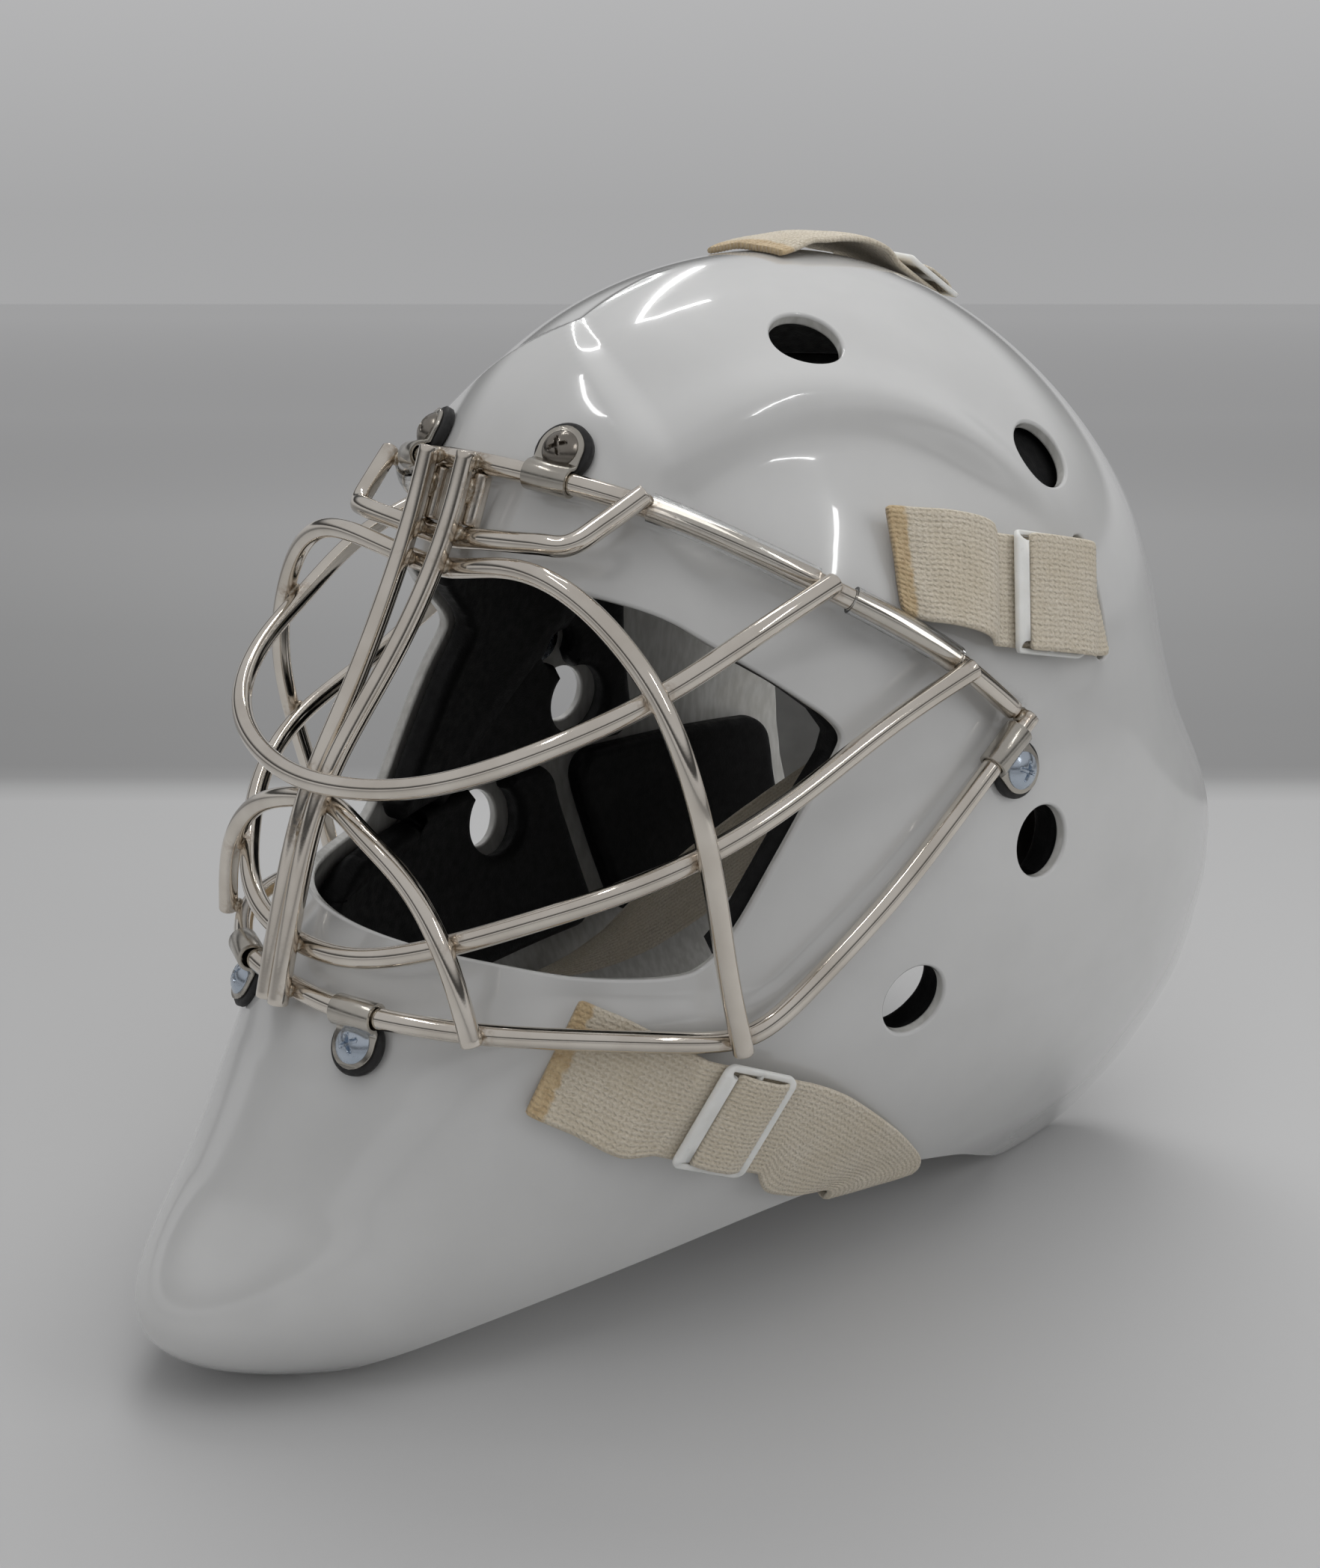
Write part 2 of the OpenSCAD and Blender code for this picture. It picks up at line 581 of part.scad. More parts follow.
// Foam pads: patches of the inner wall with thinner edges
FOAM_EDGE = 0.45;
FOAM_EDGE_L = 3;
module foam(a0, a1, v0, v1, across_n, up_n, gap = SKIN_GAP) {
    cols = across_n + 1;
    rows = up_n + 1;
    outer = wall_t + gap;
    function bulge(i, j) = let (e = min(i, across_n - i, j, up_n - j) / FOAM_EDGE_L)
        liner_t * mix(FOAM_EDGE, 1, smooth(e));
    under = [for (j = [0 : up_n]) for (i = [0 : across_n])
        skin(mix(a0, a1, i / across_n), mix(v0, v1, j / up_n), -outer)];
    over = [for (j = [0 : up_n]) for (i = [0 : across_n])
        skin(mix(a0, a1, i / across_n), mix(v0, v1, j / up_n), -outer - bulge(i, j))];
    n = rows * cols;
    rim = concat([for (i = [0 : across_n - 1]) i],
        [for (j = [0 : up_n - 1]) j * cols + across_n],
        [for (i = [across_n : -1 : 1]) up_n * cols + i],
        [for (j = [up_n : -1 : 1]) j * cols]);
    faces = concat(
        [for (j = [0 : up_n - 1]) for (i = [0 : across_n - 1]) let (k = j * cols + i)
            each [[k, k + cols, k + 1], [k + 1, k + cols, k + cols + 1]]],
        [for (j = [0 : up_n - 1]) for (i = [0 : across_n - 1]) let (k = n + j * cols + i)
            each [[k, k + 1, k + cols], [k + 1, k + cols + 1, k + cols]]],
        [for (r = [0 : len(rim) - 1]) let (p = rim[r], q = rim[(r + 1) % len(rim)])
            each [[p, q, n + p], [q, n + q, n + p]]]);
    color(BLACK)
        polyhedron(concat(under, over), faces, convexity = 6);
}

// Room in the foam round the tee nuts and behind the vents
module tee_rooms(k) {
    at_screw(k)
        translate([0, 0, -TEE_DEPTH - TEE_FLANGE_T - 1])
            cylinder(d = tee_flange_d + 2, h = 20, $fn = 32);
}
VENT_RIM = 3;
// The foam along the face opening ends this far behind its edge
FACE_RIM = 1.5;
module face_room() {
    rotate([90, 0, 90])
        translate([0, 0, -shell_w])
            linear_extrude(2 * shell_w)
                offset(delta = FACE_RIM)
                    polygon([for (p = FACE) fit_side(p)]);
}

module forehead_pad() {
    color(BLACK)
        difference() {
            foam(-56, 56, 217, 262, 16, 8, 2.1);
            tee_rooms(0);
            face_room();
        }
}
module crown_pad() foam(100, 260, 250, 279, 16, 6);
module temple_pad() {
    color(BLACK)
        difference() {
            foam(46, 92, 123, 213, 14, 14, 1.8);
            vent_holes([VENTS[0]], vent_d + 2 * VENT_RIM);
            tee_rooms(2);
            face_room();
        }
}
module jaw_pad() {
    color(BLACK)
        difference() {
            foam(38, 81, 50, 119, 12, 10);
            vent_holes([VENTS[1]], vent_d + 2 * VENT_RIM);
            face_room();
        }
}
module rear_pad() foam(84.5, 113, 48, 119, 8, 10);
module temple_pad_left() temple_pad();
module temple_pad_right() mirror([1, 0, 0]) temple_pad();
module jaw_pad_left() jaw_pad();
module jaw_pad_right() mirror([1, 0, 0]) jaw_pad();
module rear_pad_left() rear_pad();
module rear_pad_right() mirror([1, 0, 0]) rear_pad();
module chin_cup() foam(-34, 34, 22, 66, 14, 8);

// Back plate: a bowl about an upright axis behind the middle of the head
PLATE_AXIS_Y = fit([0, 83, 0])[1];
PLATE_R = 122;
PLATE_BOW = 300;
PLATE_LOW_Z = 55 * KZ;
PLATE_MID_Z = PLATE_LOW_Z + plate_h / 2;
PLATE_WIDEST_Z = 120 * KZ;
PLATE_CORNER = 3;
plate_pad_w = 88;
plate_pad_h = plate_h - 24;
function plate_r(z) = PLATE_R - pow(z - PLATE_WIDEST_Z, 2) / (2 * PLATE_BOW);
// Point H outside the rear face of the plate, at X and Z
function plate_pt(x, z, h) = let (r = plate_r(z) + h)
    [x, PLATE_AXIS_Y + sqrt(r * r - x * x), z];

// Band of the bowl between two distances from its rear face
module bowl(inner, outer) {
    heights = [for (i = [0 : 12]) mix(PLATE_LOW_Z - 3, PLATE_LOW_Z + plate_h + 3, i / 12)];
    translate([0, PLATE_AXIS_Y, 0])
        rotate_extrude($fn = 96)
            polygon(concat(
                [for (z = heights) [plate_r(z) + outer, z]],
                [for (i = [12 : -1 : 0]) [plate_r(heights[i]) + inner, heights[i]]]));
}

// Rounded outline, pushed rearwards from inside the bowl
module outline_prism(w, h) {
    e = 2 / PLATE_CORNER;
    translate([0, PLATE_AXIS_Y + 30, PLATE_MID_Z])
        rotate([-90, 0, 0])
            linear_extrude(140)
                polygon([for (i = [0 : 47]) let (c = cos(7.5 * i), s = sin(7.5 * i))
                    [sign(c) * pow(abs(c), e) * w / 2, sign(s) * pow(abs(s), e) * h / 2]]);
}

// Strap slots of the plate: their X and middle height
PLATE_SLOT_W = 9;
TEMPLE_PLATE_SLOT = [54, 195];
JAW_PLATE_SLOT = [50, 92];
PLATE_VENT_D = 12;
PLATE_VENTS = [[0, 85], [0, 120], [0, 155], [22, 103], [22, 138]];
module back_plate() {
    color(WHITE)
        difference() {
            intersection() {
                bowl(-plate_t, 0);
                outline_prism(plate_w, plate_h);
            }
            both_sides()
                for (s = [TEMPLE_PLATE_SLOT, JAW_PLATE_SLOT])
                    translate([s[0] - PLATE_SLOT_W / 2, PLATE_AXIS_Y + 60,
                            s[1] * KZ - SLOT_L / 2])
                        cube([PLATE_SLOT_W, 90, SLOT_L]);
            both_sides()
                for (p = PLATE_VENTS)
                    translate([p[0], PLATE_AXIS_Y + 60, p[1] * KZ])
                        rotate([-90, 0, 0])
                            cylinder(d = PLATE_VENT_D, h = 90, $fn = 32);
        }
}
module back_pad() {
    color(BLACK)
        difference() {
            intersection() {
                bowl(-plate_t - 0.1 - plate_pad_t, -plate_t - 0.1);
                outline_prism(plate_pad_w, plate_pad_h);
            }
            both_sides()
                for (p = PLATE_VENTS)
                    translate([p[0], PLATE_AXIS_Y + 60, p[1] * KZ])
                        rotate([-90, 0, 0])
                            cylinder(d = PLATE_VENT_D + 2, h = 90, $fn = 32);
        }
}

// Straps: rows of two edge points, swept with the strap's thickness
module ribbon(rows) {
    n = len(rows);
    mid = [for (r = rows) (r[0] + r[1]) / 2];
    points = [for (i = [0 : n - 1]) let (
        h = strap_t / 2 * unit(cross(tangent(mid, i), rows[i][0] - rows[i][1])))
        each [rows[i][0] + h, rows[i][0] - h, rows[i][1] - h, rows[i][1] + h]];
    color(CREAM)
        polyhedron(points, tube_faces(n, 4), convexity = 8);
}
function smooth_rows(rows, steps) = let (
    u = curve([for (r = rows) r[0]], steps),
    l = curve([for (r = rows) r[1]], steps))
    [for (i = [0 : len(u) - 1]) [u[i], l[i]]];
// Row about a drawn middle point, its width along W
function row(c, w) = let (h = strap_w / 2 * unit(w)) [fit(c) + h, fit(c) - h];

// A slide's place on its strap: middle, run of the strap, width of the strap
SLIDE_TRAVEL = 4;
STRAIGHT = slide_l / 2 + SLIDE_TRAVEL + 1;
function place(c, t, w) = let (run = unit(t), wide = unit(w - (w * run) * run))
    [fit(c), run, wide];
TEMPLE_PLACE = place([110, 94.9, 216.3], [0.13, 0.97, -0.2], [-0.27, 0.2, 0.94]);
JAW_PLACE = place([96.2, -17.8, 78], [0.186, 0.894, -0.41], [0.315, 0.4, 0.86]);
CROWN_PLACE = place([0, 149, 300.3], [0, 0.885, -0.466], [-0.99, 0, 0.139]);
function straight_rows(p) = [for (s = [-STRAIGHT, 0, STRAIGHT])
    [p[0] + s * p[1] + strap_w / 2 * p[2], p[0] + s * p[1] - strap_w / 2 * p[2]]];

// Rows through a slot of the plate and onto its rear face
function plate_row(x, z, h) = [plate_pt(x, z + strap_w / 2, h), plate_pt(x, z - strap_w / 2, h)];
function plate_rows(s) = [plate_row(s[0] + 9, s[1] * KZ, -14), plate_row(s[0] + 4.2, s[1] * KZ, -6.5),
    plate_row(s[0] + 1.6, s[1] * KZ, -2.6), plate_row(s[0] - 1.4, s[1] * KZ, 0.8),
    plate_row(s[0] - 5, s[1] * KZ, 1.9), plate_row(s[0] - 14, s[1] * KZ, 1.9),
    plate_row(s[0] - 26, s[1] * KZ, 1.9)];

// Rows through the shell's temple slot, across it and in depth
SLOT_RUN = [[-4.2, 2.6], [-0.6, 0.6], [1.2, -3.2], [2.6, -6.6], [7, -9.6]];
SLOT_A = a_at_y(SLOT[0], SLOT[1]);
SLOT_V = v_of(SLOT[1]);
function slot_rows() = let (
    n = skin_n(SLOT_A, SLOT_V),
    x0 = unit(cross([0, 0, 1], n)),
    y0 = cross(n, x0),
    x = cos(SLOT_LEAN) * x0 + sin(SLOT_LEAN) * y0,
    y = cross(n, x))
    [for (p = SLOT_RUN) let (c = skin(SLOT_A, SLOT_V, p[1]) + p[0] * x)
        [c + strap_w / 2 * y, c - strap_w / 2 * y]];

// Free end of the temple strap: its two edges, cut on the slant to clear the top bar
TEMPLE_FRONT = [[[90.5, 43.5, 245], [100.6, 40.5, 220.5]], [[94, 50.5, 244], [104.8, 45, 217]],
    [[97.7, 62.8, 241.9], [109.2, 53.5, 212.5]], [[100.9, 74, 238.2], [111.6, 63.5, 208.5]]];
module temple_strap() {
    front = smooth_rows(concat([for (r = TEMPLE_FRONT) [fit(r[0]), fit(r[1])]],
        [straight_rows(TEMPLE_PLACE)[0]]), 2);
    rear = smooth_rows(concat([straight_rows(TEMPLE_PLACE)[2]], slot_rows(),
        [row([96, 136, 209], [-0.1, -0.05, 1]), row([84, 153, 206], [-0.05, -0.05, 1])],
        plate_rows(TEMPLE_PLATE_SLOT)), 2);
    ribbon(concat(front, rear));
}

// Jaw strap rows on the shell: side place and height off it for both edges
JAW_FRONT = [[[-53, 117, 3], [-68.5, 88, 3]], [[-44, 112, 3], [-58, 81, 3]],
    [[-31, 104.5, 3.6], [-46.5, 73, 4]]];
JAW_REAR = [[[20, 78.5, 4.6], [0, 49.5, 4]], [[42, 60, 3], [13, 41.8, 2.6]],
    [[60, 43, 2.1], [24, 39.5, 2.1]], [[67, 34.5, 2.2], [28, 37, 2.2]],
    [[68.5, 28.4, 1.3], [29, 33, 1.3]], [[69, 26.8, -2], [30, 31.3, -2]],
    [[69.5, 28.2, -5.4], [31, 32.8, -5.4]], [[70, 36, -6.6], [33, 40, -6.6]]];
JAW_INSIDE = [[[82, 84, 54], [83, 54, 40]], [[76, 118, 78], [75, 103, 43]]];
function skin_row(r) = [on_side(r[0][0], r[0][1], r[0][2]), on_side(r[1][0], r[1][1], r[1][2])];
module jaw_strap() {
    front = smooth_rows(concat([for (r = JAW_FRONT) skin_row(r)],
        [straight_rows(JAW_PLACE)[0]]), 2);
    rear = smooth_rows(concat([straight_rows(JAW_PLACE)[2]], [for (r = JAW_REAR) skin_row(r)],
        [for (r = JAW_INSIDE) [fit(r[0]), fit(r[1])]],
        plate_rows(JAW_PLATE_SLOT)), 2);
    ribbon(concat(front, rear));
}

CROWN_FRONT = [[74, 312.2], [86, 315], [99, 316.4], [112, 315.6], [123, 312.6]];
CROWN_REAR = [[176.5, 283], [181.5, 273.5], [184.4, 262], [185, 250]];
module crown_strap() {
    front = smooth_rows(concat([for (p = CROWN_FRONT) row([0, p[0], p[1]], [-1, 0, 0])],
        [straight_rows(CROWN_PLACE)[0]]), 2);
    rear = smooth_rows(concat([straight_rows(CROWN_PLACE)[2]],
        [for (p = CROWN_REAR) row([0, p[0], p[1]], [-1, 0, 0])],
        [for (z = [238, 225, 210]) let (c = plate_pt(0, z * KZ, 1.8))
            [c - [strap_w / 2, 0, 0], c + [strap_w / 2, 0, 0]]]), 2);
    ribbon(concat(front, rear));
}
module temple_strap_left() temple_strap();
module temple_strap_right() mirror([1, 0, 0]) temple_strap();
module jaw_strap_left() jaw_strap();
module jaw_strap_right() mirror([1, 0, 0]) jaw_strap();

// Slide buckle: two bars over the strap, one under it, and side rails
SLIDE_ROOM = strap_t / 2 + GAP;
SLIDE_RAIL = 3;
SLIDE_HALF_W = strap_w / 2 + 0.6;
module slide(p) {
    full = 2 * (SLIDE_HALF_W + SLIDE_RAIL);
    bar_z = SLIDE_ROOM + slide_t / 2;
    color(WHITE)
        frame_at(p[0], p[1], p[2], cross(p[1], p[2])) {
            for (x = [-1, 1])
                translate([x * (slide_l - slide_bar) / 2, 0, bar_z])
                    cube([slide_bar, full, slide_t], center = true);
            translate([0, 0, -bar_z])
                cube([slide_bar, full, slide_t], center = true);
            for (y = [-1, 1])
                translate([0, y * (SLIDE_HALF_W + SLIDE_RAIL / 2), 0]) {
                    cube([slide_bar, SLIDE_RAIL, 2 * (SLIDE_ROOM + slide_t)], center = true);
                    translate([0, 0, bar_z])
                        cube([slide_l, SLIDE_RAIL, slide_t], center = true);
                }
        }
}
module crown_slide() slide(CROWN_PLACE);
module temple_slide_left() slide(TEMPLE_PLACE);
module temple_slide_right() mirror([1, 0, 0]) slide(TEMPLE_PLACE);
module jaw_slide_left() slide(JAW_PLACE);
module jaw_slide_right() mirror([1, 0, 0]) slide(JAW_PLACE);

shell();
cage_top_bar();
cage_lower_bar();
visor_bar();
visor_stubs();
centre_bar_left();
centre_bar_right();
eye_ring();
upper_cross_bar();
lower_cross_bar();
mouth_arc();
front_sleeve_left();
front_sleeve_right();
rear_sleeve_left();
rear_sleeve_right();
forehead_clips();
side_clips();
chin_clips();
forehead_clip_pads();
side_clip_pads();
chin_clip_pads();
forehead_screws();
side_screws();
chin_screws();
tee_nuts();
forehead_pad();
crown_pad();
temple_pad_left();
temple_pad_right();
jaw_pad_left();
jaw_pad_right();
rear_pad_left();
rear_pad_right();
chin_cup();
crown_strap();
crown_slide();
temple_strap_left();
temple_strap_right();
temple_slide_left();
temple_slide_right();
jaw_strap_left();
jaw_strap_right();
jaw_slide_left();
jaw_slide_right();
back_plate();
back_pad();
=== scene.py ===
"""Looks of the goalie mask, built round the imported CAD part.

Lengths in this script are millimetres in the frame of the part's source until a mesh is made, and
the drawn places of the source are moved by MID_Y along Y, as the source does.
"""

import math

import bpy
import numpy as np
from mathutils import Matrix, Vector


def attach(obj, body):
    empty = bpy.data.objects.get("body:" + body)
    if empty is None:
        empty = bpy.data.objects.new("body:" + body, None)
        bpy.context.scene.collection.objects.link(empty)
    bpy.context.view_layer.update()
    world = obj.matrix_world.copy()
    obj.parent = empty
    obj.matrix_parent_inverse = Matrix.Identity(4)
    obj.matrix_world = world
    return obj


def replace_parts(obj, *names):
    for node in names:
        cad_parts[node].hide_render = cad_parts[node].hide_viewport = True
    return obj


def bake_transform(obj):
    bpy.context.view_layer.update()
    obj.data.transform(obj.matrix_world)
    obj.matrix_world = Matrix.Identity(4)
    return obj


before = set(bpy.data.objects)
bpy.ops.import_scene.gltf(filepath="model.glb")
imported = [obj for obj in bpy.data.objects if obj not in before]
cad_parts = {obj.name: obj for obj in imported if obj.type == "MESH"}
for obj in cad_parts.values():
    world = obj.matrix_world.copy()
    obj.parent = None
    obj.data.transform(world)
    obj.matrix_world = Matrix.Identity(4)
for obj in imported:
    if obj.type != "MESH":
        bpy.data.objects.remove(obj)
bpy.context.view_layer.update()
scene = bpy.context.scene
MM = 0.001
MID_Y = 26.0


# Camera: its place and directions, and its lens in points of a picture as wide as the photograph
CAMERA_AT = (421.4, -332.9, 323.3)
CAMERA_RIGHT = (0.663, 0.7487, 0.0)
CAMERA_AHEAD = (-0.7129, 0.6313, -0.3055)
SENSOR_W, LENS_POINTS, FRAME_POINTS = 36.0, 2400.0, 1764.0


def add_camera():
    data = bpy.data.cameras.new("camera")
    data.sensor_fit = "HORIZONTAL"
    data.sensor_width = SENSOR_W
    data.lens = SENSOR_W * LENS_POINTS / FRAME_POINTS
    data.clip_start = 0.01
    data.clip_end = 20.0
    camera = bpy.data.objects.new("camera", data)
    scene.collection.objects.link(camera)
    ahead = Vector(CAMERA_AHEAD).normalized()
    right = Vector(CAMERA_RIGHT)
    right = (right - right.dot(ahead) * ahead).normalized()
    up = right.cross(ahead)
    x, y, z = CAMERA_AT
    camera.matrix_world = Matrix((
        (right.x, up.x, -ahead.x, x * MM),
        (right.y, up.y, -ahead.y, (y - MID_Y) * MM),
        (right.z, up.z, -ahead.z, z * MM),
        (0.0, 0.0, 0.0, 1.0)))
    scene.camera = camera


# Small maths
TINY = 1e-9


def unit(v):
    v = np.asarray(v, float)
    return v / np.maximum(np.linalg.norm(v, axis=-1, keepdims=True), 1e-12)


def smooth(x):
    t = np.clip(x, 0.0, 1.0)
    return t * t * (3.0 - 2.0 * t)


def drawn(p):
    """A place drawn in the source, in the frame."""
    return np.asarray(p, float) - (0.0, MID_Y, 0.0)


def curve(points, steps):
    """The source's smooth curve through given points, with more steps."""
    p = np.asarray(points, float)
    out = []
    for i in range(len(p) - 1):
        a, b, c, d = p[max(0, i - 1)], p[i], p[i + 1], p[min(len(p) - 1, i + 2)]
        for s in range(steps):
            t = s / steps
            out.append(0.5 * (2 * b + (c - a) * t + (2 * a - 5 * b + 4 * c - d) * t * t
                              + (3 * b - a - 3 * c + d) * t ** 3))
    out.append(p[-1])
    return np.array(out)


def length_along(path):
    """How far each point of a path lies along it."""
    return np.concatenate([[0], np.cumsum(np.linalg.norm(np.diff(path, axis=0), axis=1))])


def at_lengths(path, s, at):
    """The places on a path at the lengths AT, where S are its points' own lengths."""
    return np.stack([np.interp(at, s, path[:, i]) for i in range(3)], -1)


def across(points):
    """The left half of a wire and its mirror image, as one run."""
    p = np.asarray(points, float)
    return np.concatenate([p, p[-2::-1] * (-1.0, 1.0, 1.0)])


def mirrored(points):
    return np.asarray(points, float) * (-1.0, 1.0, 1.0)


# The shell's surface
WALL = 4.0
VENT_D = 22.0
RIDGE_H, SCOOP_DEPTH, PANEL_H, RECESS_DEPTH = 3.0, 4.0, 2.5, 2.5
TOP_Z = 311.0
CROWN_Z = 200.0
CROWN_RISE = TOP_Z - CROWN_Z
V_BOTTOM, V_TOP = -12.0, 290.0
REAR_BLUNT = 2.6
# Height, half width, reach to the front, Y of the widest point, reach behind, bluntness
STATIONS = np.array([
    (-12, 60, 205, 126, 118, 1.7), (0, 74, 247, 124, 130, 1.7), (14, 84, 270, 121, 142, 1.7),
    (30, 94, 271, 119, 150, 1.7), (60, 108, 245, 115, 163, 1.75), (90, 116, 221, 110, 170, 1.85),
    (106, 118, 209, 108, 172, 1.95), (128, 119, 189, 106, 166, 2.1), (165, 116, 167, 102, 136, 2.2),
    (200, 110, 149, 98, 128, 2.2), (250, 103, 138, 94, 119, 2.15), (311, 88, 149, 90, 113, 2.1)], float)
SLOPES = np.array([(STATIONS[min(i + 1, 11)] - STATIONS[max(i - 1, 0)])
                   / (STATIONS[min(i + 1, 11), 0] - STATIONS[max(i - 1, 0), 0]) for i in range(12)])


def station(c, z):
    i = np.clip(np.searchsorted(STATIONS[:, 0], z, side="right") - 1, 0, 10)
    h = STATIONS[i + 1, 0] - STATIONS[i, 0]
    t = (z - STATIONS[i, 0]) / h
    t2, t3 = t * t, t * t * t
    return ((2 * t3 - 3 * t2 + 1) * STATIONS[i, c] + (t3 - 2 * t2 + t) * h * SLOPES[i, c]
            + (3 * t2 - 2 * t3) * STATIONS[i + 1, c] + (t3 - t2) * h * SLOPES[i + 1, c])


def z_of(v):
    """Height of V, which is the height itself up to the crown and then an angle over it."""
    v = np.asarray(v, float)
    return np.where(v <= CROWN_Z, v, CROWN_Z + CROWN_RISE * np.sin(np.radians(np.clip(v - CROWN_Z, 0, 90))))


def v_of(z):
    z = np.asarray(z, float)
    part = np.clip((z - CROWN_Z) / CROWN_RISE, 0, 1)
    return np.where(z <= CROWN_Z, z, CROWN_Z + np.degrees(np.arcsin(part)))


def narrowing(v):
    """What is left of a section's width at V, as the crown closes."""
    return np.where(v <= CROWN_Z, 1.0, np.cos(np.radians(np.clip(v - CROWN_Z, 0, 90))))


def edge_y(z):
    """Where the recess round the face opening ends, in side view."""
    return np.where(z < 185.5, -18 + (z - 104) / 81.5 * 100, 82 + (z - 185.5) / 71.5 * -118)


def relief(p):
    """The arch over the temple, the hollow below it, the front panel and the recess, as in the source."""
    x, y, z = np.abs(p[..., 0]), p[..., 1], p[..., 2]
    below = 274 - 0.0072 * (y - 42) ** 2 - z
    arch = smooth((x - 14) / 12) * smooth((z - 184) / 12)
    arch = arch * smooth((y + 14) / 12) * (1 - smooth((y - 78) / 40))
    ridge = RIDGE_H * np.exp(-below * below / 70)
    scoop = SCOOP_DEPTH * smooth(below / 14) * (1 - smooth((below - 16) / 46))
    half = 56 * (1 - np.clip((z - 240) / 52, 0, 1) ** 2.2)
    panel = PANEL_H * smooth((half - x + 4) / 12) * smooth((z - 225) / 12) * smooth((48 - y) / 16)
    recess = RECESS_DEPTH * smooth((edge_y(z) - y + 4) / 10) * smooth((z - 108) / 10)
    recess = recess * (1 - smooth((z - 250) / 8))
    return arch * (ridge - scoop) + panel - recess


def section(a, v):
    """Drawn point of the shell at angle A (0 front, 90 left, 180 rear) and V, in the frame."""
    a, v = np.broadcast_arrays(np.asarray(a, float), np.asarray(v, float))
    z = z_of(v)
    c = narrowing(v)
    f = np.cos(np.radians(a))
    y0 = station(3, z)
    x = station(1, z) * c * np.sin(np.radians(a))
    y = np.where(f >= 0, y0 - station(2, z) * c * np.abs(f) ** (2 / station(5, z)),
                 y0 + station(4, z) * c * np.abs(f) ** (2 / REAR_BLUNT))
    p = np.stack([x, y, z], -1)
    out = unit(np.stack([x, y - y0, np.maximum(0, z - CROWN_Z) + 0.01], -1))
    return drawn(p + relief(p)[..., None] * out)


def skin_normal(a, v, d=0.4):
    """The way out of the shell, which turns straight up at the pole."""
    a, v = np.broadcast_arrays(np.asarray(a, float), np.asarray(v, float))
    w = np.minimum(v, V_TOP - 1.0)
    n = unit(np.cross(section(a + d, w) - section(a - d, w), section(a, w + d) - section(a, w - d)))
    t = smooth((v - (V_TOP - 3.0)) / 3.0)[..., None]
    return unit(n * (1 - t) + np.array((0.0, 0.0, 1.0)) * t)


def a_at_y(y, z):
    """The angle at which the shell's side lies at Y and Z."""
    c = narrowing(v_of(z))
    d = y - station(3, np.asarray(z, float))
    front = np.degrees(np.arccos(np.clip(np.abs(d) / (station(2, z) * c), 0, 1) ** (station(5, z) / 2)))
    rear = 180 - np.degrees(np.arccos(np.clip(np.abs(d) / (station(4, z) * c), 0, 1) ** (REAR_BLUNT / 2)))
    return np.where(d < 0, front, rear)


def a_at_x(x, z):
    """The angle at which the shell's front lies at X and Z."""
    c = narrowing(v_of(z))
    return np.degrees(np.arcsin(x / (station(1, np.asarray(z, float)) * c)))


# Meshes
def mesh_object(name, points, faces, normals=None, body="mask", slot=None, material=None):
    """An object from points in millimetres. Faces are a list, or arrays of triangles or quads."""
    mesh = bpy.data.meshes.new(name)
    points = np.asarray(points, float) * MM
    if isinstance(faces, np.ndarray):
        count, corners = faces.shape
        mesh.vertices.add(len(points))
        mesh.vertices.foreach_set("co", points.astype(np.float32).ravel())
        mesh.loops.add(count * corners)
        mesh.loops.foreach_set("vertex_index", faces.astype(np.int32).ravel())
        mesh.polygons.add(count)
        mesh.polygons.foreach_set("loop_start", np.arange(0, count * corners, corners, dtype=np.int32))
        mesh.update(calc_edges=True)
        mesh.validate()
    else:
        mesh.from_pydata([tuple(p) for p in points], [], [tuple(int(i) for i in f) for f in faces])
        mesh.update()
    mesh.polygons.foreach_set("use_smooth", np.ones(len(mesh.polygons), bool))
    if normals is not None:
        mesh.normals_split_custom_set_from_vertices([tuple(n) for n in unit(normals)])
    obj = bpy.data.objects.new(name, mesh)
    scene.collection.objects.link(obj)
    if material:
        mesh.materials.append(material)
    if body:
        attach(obj, body)
    return obj


def set_value(obj, name, values):
    """A number at each vertex, for the materials."""
    attribute = obj.data.attributes.new(name, "FLOAT", "POINT")
    attribute.data.foreach_set("value", np.asarray(values, np.float32))


def set_run(obj, u, s):
    """Places across and along a piece, in metres, as its UV map."""
    layer = obj.data.uv_layers.new(name="run")
    loops = np.zeros(len(obj.data.loops), np.int32)
    obj.data.loops.foreach_get("vertex_index", loops)
    uv = np.stack([np.asarray(u)[loops], np.asarray(s)[loops]], -1) * MM
    layer.data.foreach_set("uv", uv.astype(np.float32).ravel())


def mirror_object(obj, name):
    """A mirrored copy of a left-hand piece."""
    mesh = obj.data.copy()
    twin = bpy.data.objects.new(name, mesh)
    scene.collection.objects.link(twin)
    co = np.zeros(len(mesh.vertices) * 3, np.float32)
    mesh.vertices.foreach_get("co", co)
    co = co.reshape(-1, 3)
    co[:, 0] *= -1
    mesh.vertices.foreach_set("co", co.ravel())
    mesh.flip_normals()
    mesh.update()
    return twin


def add_twin(left, name, slot, node):
    """The right-hand twin of a piece of the mask, for its node."""
    right = mirror_object(left, name)
    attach(right, "mask")
    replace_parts(right, node)
    return right


